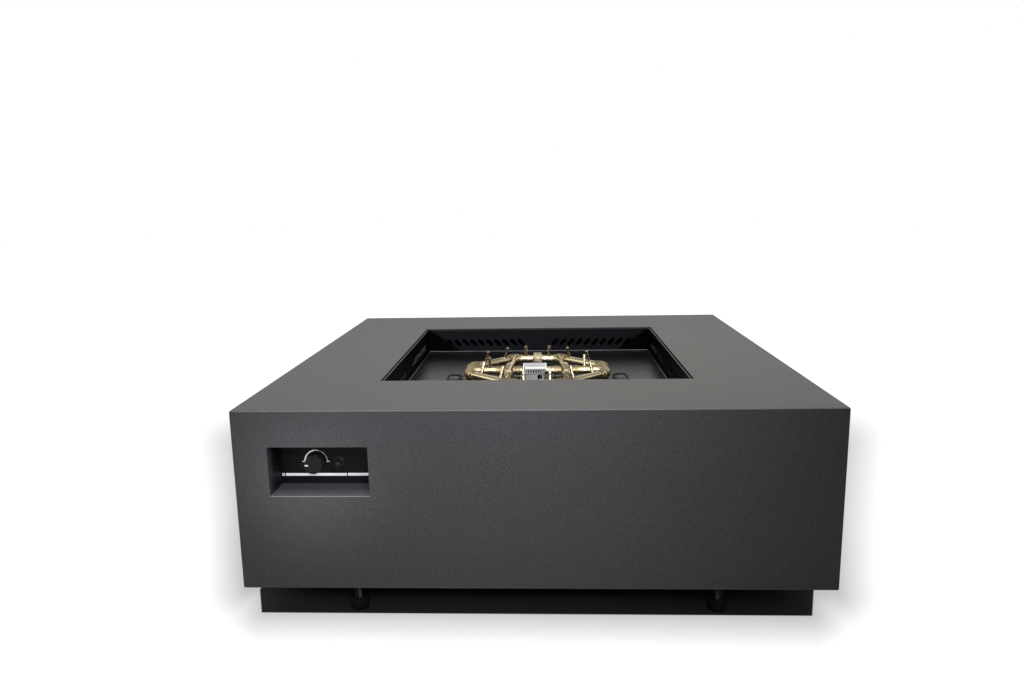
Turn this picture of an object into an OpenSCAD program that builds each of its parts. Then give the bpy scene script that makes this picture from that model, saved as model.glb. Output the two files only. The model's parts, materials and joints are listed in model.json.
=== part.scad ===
// Gas fire pit table: a folded sheet casing on a tube frame, a slotted fire bowl with a brass
// jet burner and pilot, lift bails, and a control pocket with a valve knob and an igniter button.
// Millimetres. Origin on the ground under the middle of the table, front towards -Y, up +Z.

/* [Casing] */
// Width of the casing from side to side
table_w = 1219; // [1150:1:1300]
// Depth of the casing from front to back
table_d = 1219; // [1150:1:1300]
// Height of the casing from its lower edge to its top
casing_h = 381; // [360:1:420]
// Height of the casing's lower edge over the ground
ground_gap = 51; // [45:1:70]
// Thickness of the casing's sheet
sheet_t = 3; // [2:0.5:4]
// Outer radius of the casing's folded edges
fold_r = 3; // [2:0.5:4]
// Height of the top panel's turned-down edge
skirt_h = 20; // [15:1:30]
// Width of the inward flange along the casing's lower edge
flange_w = 30; // [25:1:40]
// Width of the opening in the top
opening_w = 716; // [690:1:740]
// Depth of the opening in the top, front to back
opening_d = 716; // [690:1:740]

/* [Frame] */
// Outer size of the square tube in the base rails and posts
rail = 38; // [34:1:42]
// Outer size of the square tube under the top
light_rail = 25; // [20:1:30]
// Outer size of the square tube that carries the fire bowl
bearer = 30; // [25:1:35]
// Wall of the square tubes
tube_wall = 2; // [1.5:0.5:3]
// Space between the opening's edge and the rails beside it
opening_rail_gap = 4; // [3:0.5:8]

/* [Feet] */
// Distance of a foot's centre from the casing's side
foot_from_side = 238; // [150:1:300]
// Diameter of a rubber foot pad
foot_pad_d = 38; // [30:1:44]
// Height of a rubber foot pad
foot_pad_h = 24; // [15:1:30]
// Diameter of a foot's steel stem
foot_stem_d = 18; // [12:1:20]
// Space round the stem where it passes through the casing's flange
foot_hole_gap = 2; // [1:0.5:3]

/* [Fire bowl] */
// Space between the opening's edge and the bowl liner
liner_gap = 2.8; // [2:0.1:5]
// Thickness of the liner's sheet
liner_t = 2.3; // [1.5:0.1:3]
// Depth of the liner's rim below the table top
rim_drop = 4; // [2:0.5:8]
// Depth of the pan's surface below the table top
pan_drop = 74; // [70:1:84]
// Thickness of the pan's sheet
pan_t = 2; // [1.5:0.1:3]
// Full height of the pan's turned-down edge
pan_lip = 14; // [10:1:18]
// Outer radius of the pan's folded edge
pan_fold_r = 3; // [2.5:0.5:4]
// Radius of the bead pressed up along the pan's edge
pan_bead_r = 2.5; // [2:0.1:3]
// Space between the pan and the liner
pan_gap = 1.2; // [0.8:0.1:3]
// Width of the ledge that carries the pan
ledge_w = 25; // [20:1:30]
// Thickness of the ledge
ledge_t = 2; // [1.5:0.1:3]
// Width of an air slot
slot_w = 12; // [7:0.1:12.5]
// Length of an air slot from end to end
slot_l = 28; // [20:0.5:32]
// Distance from one air slot to the next
slot_pitch = 25.4; // [22:0.1:30]
// Air slots in each half of a wall
slots_per_half = 10; // [6:1:10]
// Distance of the first slot from the middle of its wall
slot_start = 54; // [40:1:60]
// Depth of the slots' middle below the table top
slot_drop = 45; // [38:1:46]
// Lean of the slots
slot_lean = 45; // [30:1:60]
// Distance of a pan screw from the pan's side edge
pan_screw_in = 12.7; // [10:0.1:16]
// Distance of a pan screw from the middle, front to back
pan_screw_y = 236; // [150:1:280]
// Diameter of a pan screw
pan_screw_d = 5; // [4:0.5:6]

/* [Burner] */
// Distance of the ring's side pipes from the middle
ring_x = 185; // [170:1:195]
// Distance of the ring's front and back pipes from the middle
ring_y = 157; // [150:1:170]
// Corner cut of the ring, the same along both sides
ring_cut = 114; // [108:1:118]
// Outer diameter of the brass pipe
pipe_d = 21.3; // [19:0.1:22]
// Wall of the brass pipe
pipe_wall = 2.8; // [2:0.1:3.5]
// Height of the pipes' centre line over the pan
pipe_h = 16; // [15:0.5:18]
// Radius of a fitting's end bead
collar_r = 13.3; // [13:0.1:14]
// Length of a fitting's end bead
collar_l = 5.5; // [4:0.5:6]
// Radius of an elbow's body
elbow_body_r = 14.2; // [13.8:0.1:14.8]
// Radius of a tee's or a cross's body
tee_body_r = 12.6; // [12.2:0.1:12.8]
// Depth that a pipe sits in a fitting
socket_l = 7.5; // [6:0.5:7.5]
// Length of an elbow's leg from the corner point
elbow_leg = 18; // [17:0.5:20]
// Half the length of a side tee's run
tee_half = 19; // [19:0.5:21]
// Length of a side tee's branch
tee_branch_l = 13.5; // [13:0.5:18]
// Length of a cross's branches
branch_l = 22; // [20:0.5:24]
// Distance of a cross from the middle of the crossbar
cross_x = 78.5; // [70:0.5:90]
// Half the length of a cross's run
cross_half = 25.5; // [22:0.5:27]
// Reach of a stub from the crossbar to its plug's face
stub_l = 57; // [54:1:64]
// Length of a stub plug's head
plug_l = 6; // [4:0.5:9]
// Radius of a stub plug's head
plug_r = 10.2; // [9:0.1:10.6]
// Width of the inlet block, side to side
block_w = 25; // [24:0.5:30]
// Depth of the inlet block, front to back
block_d = 62; // [50:1:66]
// Height of the inlet block
block_h = 29; // [28:0.5:32]

/* [Jets] */
// Outer diameter of a jet tube
jet_d = 7.6; // [6:0.1:9]
// Bore of a jet tube
jet_bore = 4.8; // [3:0.1:5]
// Length of a jet from its pipe's centre line
jet_l = 42; // [34:1:50]
// Lean of the jets on the ring and the crossbar
jet_lean = 20; // [0:1:28]
// Lean of the jets on the stubs
stub_lean = 31; // [15:1:32]
// Diameter of a jet's air hole
air_hole_d = 3; // [1.5:0.1:3.2]
// Distance of a jet's air hole from its pipe's centre line
air_hole_at = 23; // [22:1:29]
// Distance of the front and back pipes' jets from the middle
mid_jet_x = 34; // [28:1:38]
// Distance of the crossbar's jets from the middle
bar_jet_x = 130; // [118:1:140]
// Distance of a slanted pipe's first jet from the ring's side corner
first_jet = 50; // [35:1:70]
// Distance of a slanted pipe's second jet from the ring's side corner
second_jet = 125; // [100:1:130]

/* [Pilot] */
// Distance of the pilot's middle from the table's middle, negative to the left
pilot_x = -6; // [-15:1:10]
// Distance of the pilot's front face from the middle of the table
pilot_front = 70; // [64:1:100]
// Width of the pilot hood's roof
hood_w = 63; // [56:1:70]
// Depth of the pilot hood's roof
hood_d = 55; // [50:1:62]
// Height of the pilot hood over the pan
hood_h = 40; // [36:1:46]
// Height of the hood's front apron
hood_apron = 15; // [12:1:18]
// Thickness of the pilot's sheet
hood_t = 1.5; // [1:0.1:2]
// Slots in the hood's front apron
hood_slots = 8; // [4:1:9]
// Width of the pilot box
pilot_box_w = 49; // [44:1:54]
// Diameter of the pilot box's sight hole
sight_d = 13.5; // [10:0.5:15]
// Distance of the sight hole from the pilot's middle
sight_x = 13; // [6:0.5:14]

/* [Lift bails] */
// Distance of a bail's pivots from the middle
bail_x = 207; // [206:0.5:215]
// Reach of a bail from its pivots to its grip
bail_reach = 33; // [28:1:40]
// Distance of a bail's rear leg from the middle of the table
bail_rear = 18; // [10:1:24]
// Length of a bail along its grip
bail_l = 100; // [80:1:120]
// Diameter of a bail's wire
bail_wire_d = 4; // [3:0.1:5]
// Diameter of a bail's grip
bail_grip_d = 6; // [5:0.1:8]
// Height of a bail's pivots over the pan
bail_lift = 8; // [7:0.5:12]
// Running clearance round a bail's pivot
bail_fit = 0.05; // [0.02:0.01:0.1]

/* [Control pocket] */
// Width of the pocket's opening
pocket_w = 204; // [190:1:220]
// Height of the pocket's opening
pocket_h = 104; // [98:1:115]
// Depth of the pocket from the casing's face to the control panel
pocket_d = 76; // [65:1:85]
// Distance of the pocket from the casing's left side
pocket_from_side = 71; // [60:1:100]
// Distance of the pocket from the table top
pocket_from_top = 76; // [65:1:90]
// Thickness of the pocket's sheet
pocket_t = 2; // [1.5:0.1:2.5]
// Width of the pocket's flanges
pocket_flange = 15; // [12:1:18]
// Thickness of the control panel
panel_t = 2; // [1.5:0.1:2.5]

/* [Knob and valve] */
// Distance of the knob's axis from the pocket's left side
knob_from_side = 75; // [70:0.5:80]
// Distance of the knob's axis below the pocket's top
knob_from_top = 57; // [52:1:60]
// Diameter of the knob
knob_d = 37.6; // [32:0.1:39]
// Distance of the knob's face from the control panel
knob_reach = 24; // [20:0.5:28]
// Travel of the knob when it is pushed in
knob_travel = 4.5; // [3:0.5:5]
// Diameter of the valve spindle
spindle_d = 8; // [6:0.5:9]
// Running clearance round the spindle and the plungers
slide_fit = 0.05; // [0.03:0.01:0.1]
// Width of the valve body
valve_w = 60; // [50:1:64]
// Depth of the valve body
valve_d = 50; // [48:1:60]
// Height of the valve body
valve_h = 48; // [40:1:56]

/* [Igniter] */
// Distance of the button's axis from the knob's axis
button_from_knob = 52; // [51:1:60]
// Distance of the button's axis below the pocket's top
button_from_top = 54; // [50:1:58]
// Diameter of the button
button_d = 15.4; // [12:0.2:15.4]
// Distance of the button's face from the control panel
button_reach = 30; // [27:1:34]
// Travel of the button
button_travel = 6; // [4:0.5:7]
// Diameter of the igniter's barrel
barrel_d = 18; // [18:0.5:20]
// Diameter of the igniter's bezel
bezel_d = 22; // [21:0.5:26]
// Length of the barrel behind the control panel
barrel_l = 68; // [66:1:80]

/* [Gas lines] */
// Diameter of the gas hoses
hose_d = 16; // [12:0.5:18]
// Diameter of the pilot's gas tube
pilot_tube_d = 6.4; // [5:0.1:7]
// Diameter of the flame sensor's lead
sensor_lead_d = 3; // [2:0.1:4]
// Diameter of the ignition wire
spark_wire_d = 5; // [4:0.1:6]
// Diameter of the gas inlet's threaded spigot
inlet_d = 20.96; // [16:0.01:21]
// Free length of the gas inlet's spigot
inlet_l = 18; // [14:1:22]
// Distance of the gas inlet in front of the middle
inlet_front = 300; // [200:1:340]

/* [Hidden] */
$fn = 48;
seam = 0.3;
end_gap = 0.3;
screw_gap = 0.3;

charcoal = "#565557";
satin_black = "#1c1c1f";
pan_black = "#2a2a2d";
frame_black = "#222224";
brass = "#cdb67a";
cast_brass = "#a8905c";
plate_steel = "#b4b4b6";
zinc = "#9c9ea2";
rubber_black = "#161616";
knob_black = "#202022";
mark_white = "#e6e8ea";
ceramic_white = "#e4e0d6";
copper = "#b4693c";
wire_black = "#1b1b1b";

top_z = ground_gap + casing_h;
plate_z = top_z - sheet_t;
skirt_z = top_z - skirt_h;
in_w = table_w - 2 * sheet_t;
in_d = table_d - 2 * sheet_t;
base_z = ground_gap + sheet_t;
base_top = base_z + rail;
rim_z = plate_z - light_rail;
pad_socket = 8;

liner_w = opening_w - 2 * liner_gap;
liner_d = opening_d - 2 * liner_gap;
rim_z_liner = top_z - rim_drop;
pan_z = top_z - pan_drop;
ledge_z = pan_z - pan_lip;
bearer_top = ledge_z - ledge_t;
bearer_z = bearer_top - bearer / 2;
bearer_y = liner_d / 2 - bearer / 2;
pan_w = liner_w - 2 * liner_t - 2 * pan_gap;
pan_d = liner_d - 2 * liner_t - 2 * pan_gap;
pan_nut_h = 4;

pipe_r = pipe_d / 2;
pipe_in = pipe_r - pipe_wall;
pipe_fit = 0.05;
pipe_z = pan_z + pipe_h;
side_corner = [ring_x, ring_y - ring_cut];
end_corner = [ring_x - ring_cut, ring_y];
slant = norm(end_corner - side_corner);
slant_dir = (end_corner - side_corner) / slant;
elbow_seat = 1.5;
elbow_tangent = elbow_leg - min(collar_l, socket_l) + elbow_seat;
elbow_r = elbow_tangent / tan(22.5);
riser_r = pipe_r;
riser_in_block = 4.5;
riser_drop = 50;
riser_bottom = pan_z - riser_drop;
locknut_h = 10;
locknut_flats = 34;
hose_nut_l = 26;
hose_nut_socket = 8;
hose_nut_r = 14;
line_nut_flats = 20;
line_nut_l = 14;

jet_r = jet_d / 2;
jet_root = pipe_in + 0.4;
stub_jet_y = branch_l + jet_r + 3;

pilot_y = -pilot_front;
hood_top = pan_z + hood_h;
hood_slope = 4;
hood_fall = 7;
hood_side_l = 3.5;
hood_side_fall = 1.2;
hood_eave = hood_top - hood_slope;
hood_slot_drop = 3;
hood_slot_top = hood_eave - hood_slot_drop;
hood_slot_l = hood_apron * 0.6;
pilot_box_h = hood_h - hood_slope - hood_t;
pilot_box_d = hood_d - 12;
pilot_gear_in = 18;
pilot_gear_y = pilot_y + pilot_gear_in;
pilot_gear_h = 26;
pan_port = [36, 22];

bail_y = -bail_rear;
bail_r = bail_wire_d / 2;
bail_grip_r = bail_grip_d / 2;
bail_pin_l = 14;
bail_z = pan_z + bail_lift;
ear_w = 7;
ear_t = 4;

face_y = -table_d / 2;
pocket_x = -table_w / 2 + pocket_from_side;
pocket_top = top_z - pocket_from_top;
pocket_z = pocket_top - pocket_h;
panel_y = face_y + pocket_d;
panel_back = panel_y + panel_t;
panel_screw_r = 2;
knob_x = pocket_x + knob_from_side;
knob_z = pocket_top - knob_from_top;
knob_gap = knob_travel + 1;
knob_r = knob_d / 2;
knob_face_t = 3;
pointer_in = 1.6;
pointer_l = 7;
pointer_w = 3;
pointer_seat = 0.5;
spindle_r = spindle_d / 2;
valve_neck = 22;
spindle_end = panel_back + valve_neck + 2;
plunger_r = 7;
plunger_l = 8;
valve_spring_l = 12;
chamber_end = spindle_end + plunger_l + valve_spring_l;
valve_back = panel_back + valve_d;
valve_bottom = knob_z - valve_h / 2;
valve_screw_at = 12;
valve_screw_r = 2;
valve_screw_l = 10;
port_l = 18;
port_r = 11;
small_port_l = 8;
small_port_flats = 10;
button_x = knob_x + button_from_knob;
button_z = pocket_top - button_from_top;
button_r = button_d / 2;
barrel_r = barrel_d / 2;
bezel_h = 8;
barrel_reach = 14;
barrel_front = panel_y - barrel_reach;
barrel_back = panel_back + barrel_l;
button_back = panel_y + 3.5;
battery_gap = 12.5;
battery_front = button_back + battery_gap;
battery_l = 44;
battery_r = 5.25;
barrel_tail_l = 6;
barrel_tail_r = 4;

outlet_at = [knob_x - 8, valve_back + port_l, knob_z - 6];
pilot_port_off = [18, 12];
sensor_port_off = [-22, 15];
pilot_port_at = [knob_x + pilot_port_off[0], valve_back + small_port_l, knob_z + pilot_port_off[1]];
sensor_port_at = [knob_x + sensor_port_off[0], valve_back + small_port_l, knob_z + sensor_port_off[1]];
inlet_port_at = [knob_x, panel_back + valve_d / 2, valve_bottom - port_l];
spark_port_at = [button_x, barrel_back + barrel_tail_l, button_z];
riser_at = [0, ring_y, riser_bottom + hose_nut_socket - hose_nut_l];
pilot_jet_x = pilot_x - 12;
sensor_x = pilot_x + 1;
spark_from_middle = 15;
spark_x = pilot_x + spark_from_middle;
inlet_from_rail = 32;
inlet_x = -in_w / 2 + rail + inlet_from_rail;
inlet_y = -inlet_front;
inlet_shelf_z = base_top - 8;
inlet_shelf_t = 3;
inlet_nut_h = 12;
inlet_nut_flats = 24;
inlet_shelf_w = 50;
inlet_shelf_over = 20;
inlet_web_z = base_z + 4;
inlet_top = inlet_shelf_z + inlet_shelf_t + inlet_nut_h;

// Jets as [foot x, foot y, lean direction x, lean direction y, lean]
jets = concat(
    [for (sx = [-1, 1], sy = [-1, 1], along = [first_jet, second_jet])
        let (foot = side_corner + slant_dir * along)
        [sx * foot.x, sy * foot.y, -sx * slant_dir.y, sy * slant_dir.x, jet_lean]],
    [for (sx = [-1, 1], sy = [-1, 1]) [sx * cross_x, sy * stub_jet_y, -sx, 0, stub_lean]],
    [for (sx = [-1, 1], sy = [-1, 1]) [sx * mid_jet_x, sy * ring_y, 0, -sy, jet_lean]],
    [for (sx = [-1, 1]) [sx * bar_jet_x, 0, 0, sx, jet_lean]]
);

// Point at share t of a curve with end points a and d and handles b and c
function bend_point(a, b, c, d, t) =
    pow(1 - t, 3) * a + 3 * pow(1 - t, 2) * t * b + 3 * (1 - t) * t * t * c + pow(t, 3) * d;
function route(a, b, c, d, n) = [for (i = [0 : n]) bend_point(a, b, c, d, i / n)];
function unit(v) = v / norm(v);

// Direction of a route at point i, exact at its two ends
function heading(p, first, last, i) =
    i == 0 ? first : i == len(p) - 1 ? last : unit(p[i + 1] - p[i - 1]);
// Side vectors carried along the route without twist
function sides(h, s, i) =
    i == len(h) ? [] : let (v = unit(s - (s * h[i]) * h[i])) concat([v], sides(h, v, i + 1));

// Round rod from p to q
module rod(p, q, r) {
    v = q - p;
    translate(p) rotate([0, acos(v.z / norm(v)), atan2(v.y, v.x)]) cylinder(h = norm(v), r = r);
}

// Round tube from p to q, with its bore open at both ends
module round_tube(p, q, r, bore) {
    u = unit(q - p);
    difference() {
        rod(p, q, r);
        rod(p - u, q + u, bore);
    }
}

// Flexible line along a route, with flat ends square to the first and last directions
module flex_line(p, first, last, r, facets) {
    n = len(p);
    h = [for (i = [0 : n - 1]) heading(p, first, last, i)];
    start_side = abs(h[0].x) < 0.9 ? [1, 0, 0] : [0, 1, 0];
    s = sides(h, start_side, 0);
    ring_points = [for (i = [0 : n - 1], k = [0 : facets - 1])
        p[i] + r * (cos(360 * k / facets) * s[i] + sin(360 * k / facets) * cross(h[i], s[i]))];
    skin = [for (i = [0 : n - 2], k = [0 : facets - 1], half = [0, 1])
        let (a = i * facets + k, b = i * facets + (k + 1) % facets)
        half == 0 ? [a, a + facets, b] : [b, a + facets, b + facets]];
    start_cap = [for (k = [1 : facets - 2]) [0, k, k + 1]];
    m = (n - 1) * facets;
    end_cap = [for (k = [1 : facets - 2]) [m, m + k + 1, m + k]];
    polyhedron(points = ring_points, faces = concat(skin, start_cap, end_cap), convexity = 6);
}

// Flat rectangle with round corners
module rounded_rect(w, d, r) {
    square([w - 2 * r, d], center = true);
    square([w, d - 2 * r], center = true);
    for (x = [-1, 1], y = [-1, 1]) translate([x * (w / 2 - r), y * (d / 2 - r)]) circle(r);
}

// Slab with its base at z = 0, its upper edges and its upright corners rounded
module soft_slab(w, d, h, r) {
    linear_extrude(h - r) rounded_rect(w, d, r);
    linear_extrude(h) square([w - 2 * r, d - 2 * r], center = true);
    translate([0, 0, h - r]) {
        for (y = [-1, 1]) translate([0, y * (d / 2 - r), 0]) rotate([0, 90, 0])
            cylinder(h = w - 2 * r, r = r, center = true);
        for (x = [-1, 1]) translate([x * (w / 2 - r), 0, 0]) rotate([90, 0, 0])
            cylinder(h = d - 2 * r, r = r, center = true);
        for (x = [-1, 1], y = [-1, 1]) translate([x * (w / 2 - r), y * (d / 2 - r), 0]) sphere(r);
    }
}

// Square tube along X, centred
module square_tube(l, size) {
    difference() {
        cube([l, size, size], center = true);
        cube([l + 2, size - 2 * tube_wall, size - 2 * tube_wall], center = true);
    }
}

// Hexagon bar along Z from z = 0, given across its flats
module hex_bar(flats, h) {
    cylinder(h = h, r = flats / 2 / cos(30), $fn = 6);
}

// Casing

module top_panel() {
    color(charcoal) difference() {
        translate([0, 0, skirt_z]) soft_slab(table_w, table_d, skirt_h, fold_r);
        translate([0, 0, skirt_z - 1]) linear_extrude(skirt_h - sheet_t + 1)
            square([in_w, in_d], center = true);
        translate([0, 0, plate_z - 1]) linear_extrude(sheet_t + 2)
            square([opening_w, opening_d], center = true);
    }
}

// All four aprons as one shell, folded in along the lower edge
module apron_shell() {
    difference() {
        translate([0, 0, skirt_z]) mirror([0, 0, 1])
            soft_slab(table_w, table_d, skirt_z - ground_gap, fold_r);
        translate([0, 0, base_z]) linear_extrude(casing_h) square([in_w, in_d], center = true);
        translate([0, 0, ground_gap - 1]) linear_extrude(sheet_t + 2)
            square([table_w - 2 * flange_w, table_d - 2 * flange_w], center = true);
        for (x = [-1, 1], y = [-1, 1])
            translate([x * (table_w / 2 - foot_from_side), y * (in_d / 2 - rail / 2), ground_gap - 1])
                cylinder(h = sheet_t + 2, r = foot_stem_d / 2 + foot_hole_gap);
    }
}

// The part of the shell on one side, mitred at the corners; along is its length, across the other
module apron(along, across) {
    over = 5;
    reach = flange_w + over;
    linear_extrude(top_z) polygon([
        [-along / 2 - over, -across / 2 - over], [along / 2 + over, -across / 2 - over],
        [along / 2 - reach, -across / 2 + reach], [-along / 2 + reach, -across / 2 + reach]
    ]);
}

module front_panel() {
    color(charcoal) difference() {
        intersection() {
            apron_shell();
            apron(table_w, table_d);
        }
        translate([pocket_x, face_y - 1, pocket_z]) cube([pocket_w, sheet_t + 2, pocket_h]);
    }
}

module back_panel() {
    color(charcoal) intersection() {
        apron_shell();
        rotate([0, 0, 180]) apron(table_w, table_d);
    }
}

module left_panel() {
    color(charcoal) intersection() {
        apron_shell();
        rotate([0, 0, -90]) apron(table_d, table_w);
    }
}

module right_panel() {
    color(charcoal) intersection() {
        apron_shell();
        rotate([0, 0, 90]) apron(table_d, table_w);
    }
}

// Frame

module corner_posts() {
    color(frame_black) for (x = [-1, 1], y = [-1, 1])
        translate([x * (in_w / 2 - rail / 2), y * (in_d / 2 - rail / 2), (base_top + rim_z) / 2])
            rotate([0, 90, 0]) square_tube(rim_z - base_top, rail);
}

// Four tubes round a rectangle, the front and back ones running through
module tube_ring(w, d, size) {
    for (y = [-1, 1]) translate([0, y * (d / 2 - size / 2), 0]) square_tube(w, size);
    for (x = [-1, 1]) translate([x * (w / 2 - size / 2), 0, 0]) rotate([0, 0, 90])
        square_tube(d - 2 * size - 2 * seam, size);
}

module base_rails() {
    color(frame_black) translate([0, 0, base_z + rail / 2]) tube_ring(in_w, in_d, rail);
}

module rim_rails() {
    color(frame_black) translate([0, 0, rim_z + light_rail / 2]) tube_ring(in_w, in_d, light_rail);
}

module opening_rails() {
    side_x = opening_w / 2 + opening_rail_gap + light_rail / 2;
    end_y = opening_d / 2 + opening_rail_gap + light_rail / 2;
    color(frame_black) translate([0, 0, rim_z + light_rail / 2]) {
        for (x = [-1, 1]) translate([x * side_x, 0, 0]) rotate([0, 0, 90])
            square_tube(in_d - 2 * light_rail, light_rail);
        for (y = [-1, 1]) translate([0, y * end_y, 0])
            square_tube(2 * side_x - light_rail - 2 * seam, light_rail);
    }
}

module bearer_posts() {
    color(frame_black) for (x = [-1, 1], y = [-1, 1])
        translate([x * (in_w / 2 - rail / 2), y * bearer_y, (base_top + bearer_top - bearer) / 2])
            rotate([0, 90, 0]) square_tube(bearer_top - bearer - base_top, bearer);
}

module bearer_rails() {
    color(frame_black) for (y = [-1, 1]) translate([0, y * bearer_y, bearer_z])
        square_tube(in_w, bearer);
}

module at_feet() {
    for (x = [-1, 1], y = [-1, 1])
        translate([x * (table_w / 2 - foot_from_side), y * (in_d / 2 - rail / 2), 0]) children();
}

module foot_stems() {
    color(zinc) at_feet() translate([0, 0, foot_pad_h - pad_socket])
        cylinder(h = base_z - foot_pad_h + pad_socket, r = foot_stem_d / 2);
}

module foot_pads() {
    pad_edge = 3;
    color(rubber_black) at_feet() difference() {
        rotate_extrude() {
            square([foot_pad_d / 2 - pad_edge, foot_pad_h]);
            square([foot_pad_d / 2, foot_pad_h - pad_edge]);
            translate([foot_pad_d / 2 - pad_edge, foot_pad_h - pad_edge]) circle(pad_edge);
        }
        translate([0, 0, foot_pad_h - pad_socket])
            cylinder(h = pad_socket + 1, r = foot_stem_d / 2 + slide_fit);
    }
}

// Fire bowl

// Slots of one wall as flat shapes, leaning towards the middle of the wall
module slot_row() {
    for (half = [-1, 1], i = [0 : slots_per_half - 1])
        translate([half * (slot_start + i * slot_pitch), top_z - slot_drop - ledge_z])
            rotate(half * -slot_lean) {
                square([slot_w, slot_l - slot_w], center = true);
                for (e = [-1, 1]) translate([0, e * (slot_l - slot_w) / 2]) circle(slot_w / 2);
            }
}

// Upright wall of the liner along X, its outer face at y = 0 and its foot at z = 0
module liner_wall(l) {
    translate([0, liner_t, 0]) rotate([90, 0, 0]) linear_extrude(liner_t) difference() {
        translate([-l / 2, 0]) square([l, rim_z_liner - ledge_z]);
        slot_row();
    }
}

module liner_walls() {
    color(satin_black) translate([0, 0, ledge_z]) {
        for (a = [0, 180]) rotate([0, 0, a]) translate([0, -liner_d / 2, 0]) liner_wall(liner_w);
        for (a = [90, 270]) rotate([0, 0, a]) translate([0, -liner_w / 2, 0])
            liner_wall(liner_d - 2 * liner_t - 2 * seam);
    }
}

module at_pan_screws() {
    for (x = [-1, 1], y = [-1, 1]) translate([x * (pan_w / 2 - pan_screw_in), y * pan_screw_y, 0]) children();
}

module liner_ledge() {
    color(satin_black) translate([0, 0, bearer_top]) difference() {
        union() {
            for (y = [-1, 1]) translate([-liner_w / 2, y * (liner_d / 2 - ledge_w / 2) - ledge_w / 2, 0])
                cube([liner_w, ledge_w, ledge_t]);
            for (x = [-1, 1])
                translate([x * (liner_w / 2 - ledge_w / 2) - ledge_w / 2, -liner_d / 2 + ledge_w + seam, 0])
                    cube([ledge_w, liner_d - 2 * ledge_w - 2 * seam, ledge_t]);
        }
        at_pan_screws() translate([0, 0, -1])
            cylinder(h = ledge_t + 2, r = pan_screw_d / 2 + screw_gap);
    }
}

// Bead that stiffens the pan's edge, sunk in its sheet
module pan_bead() {
    x_at = pan_w / 2 - pan_fold_r / 2 - pan_bead_r;
    y_at = pan_d / 2 - pan_fold_r / 2 - pan_bead_r;
    translate([0, 0, pan_z - 0.8 * pan_t + pan_bead_r]) {
        for (y = [-1, 1]) rod([-x_at, y * y_at, 0], [x_at, y * y_at, 0], pan_bead_r);
        for (x = [-1, 1]) rod([x * x_at, -y_at, 0], [x * x_at, y_at, 0], pan_bead_r);
        for (x = [-1, 1], y = [-1, 1]) translate([x * x_at, y * y_at, 0]) sphere(pan_bead_r);
    }
}

module burner_pan() {
    color(pan_black) difference() {
        union() {
            translate([0, 0, ledge_z]) soft_slab(pan_w, pan_d, pan_lip, pan_fold_r);
            pan_bead();
        }
        translate([0, 0, ledge_z - 1]) linear_extrude(pan_lip - pan_t + 1)
            square([pan_w - 2 * pan_t, pan_d - 2 * pan_t], center = true);
        at_pan_screws() translate([0, 0, pan_z - pan_t - 1])
            cylinder(h = pan_t + 2, r = pan_screw_d / 2 + screw_gap);
        translate([0, ring_y, pan_z - pan_t - 1]) cylinder(h = pan_t + 2, r = riser_r + screw_gap);
        translate([pilot_x - pan_port.x / 2, pilot_gear_y - pan_port.y / 2, pan_z - pan_t - 1])
            cube([pan_port.x, pan_port.y, pan_t + 2]);
    }
}

module pan_screws() {
    head_h = 2.6;
    color(zinc) at_pan_screws() {
        translate([0, 0, bearer_top - pan_nut_h - 2])
            cylinder(h = pan_z - bearer_top + pan_nut_h + 2, r = pan_screw_d / 2);
        translate([0, 0, pan_z]) difference() {
            cylinder(h = head_h, r = pan_screw_d * 0.95);
            translate([0, 0, head_h - 1.2]) hex_bar(pan_screw_d * 0.6, 2);
        }
    }
}

module pan_nuts() {
    color(zinc) at_pan_screws() translate([0, 0, bearer_top - pan_nut_h]) difference() {
        hex_bar(pan_screw_d * 1.6, pan_nut_h);
        translate([0, 0, -1]) cylinder(h = pan_nut_h + 2, r = pan_screw_d / 2 + pipe_fit);
    }
}

// Sheet over the valve, hung on the front bearer
module heat_shield() {
    side = 50;
    shield_t = 1.5;
    back_h = 24;
    front_h = 12;
    shield_x = knob_x - valve_w / 2 - side;
    shield_w = button_x - knob_x + valve_w / 2 + barrel_r + 2 * side;
    shield_y = panel_back + pocket_flange;
    depth = -bearer_y - bearer / 2 - shield_y;
    shield_drop = 2;
    top = bearer_top - shield_drop;
    color(plate_steel) difference() {
        translate([shield_x, shield_y, top - back_h]) cube([shield_w, depth, back_h]);
        translate([shield_x - 1, shield_y + shield_t, top - back_h - shield_t])
            cube([shield_w + 2, depth - 2 * shield_t, back_h]);
        translate([shield_x - 1, shield_y - 1, top - back_h - 1])
            cube([shield_w + 2, shield_t + 2, back_h - front_h + 1]);
    }
}

// Burner

// Both copies of a shape, on the right and mirrored on the left
module both_sides() {
    children();
    mirror([1, 0, 0]) children();
}

// All four copies of a shape, one in each quarter
module quarters() {
    both_sides() {
        children();
        mirror([0, 1, 0]) children();
    }
}

// The same shape at each jet's foot, with Z along the jet and X in the plane of its lean
module at_jets() {
    for (j = jets) translate([j[0], j[1], pipe_z]) rotate([0, j[4], atan2(j[3], j[2])]) children();
}

// Straight pipes with holes where jets stand
module drilled() {
    drill_root = 4;
    difference() {
        children();
        at_jets() translate([0, 0, drill_root]) cylinder(h = jet_l - drill_root, r = jet_r + pipe_fit);
    }
}

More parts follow.
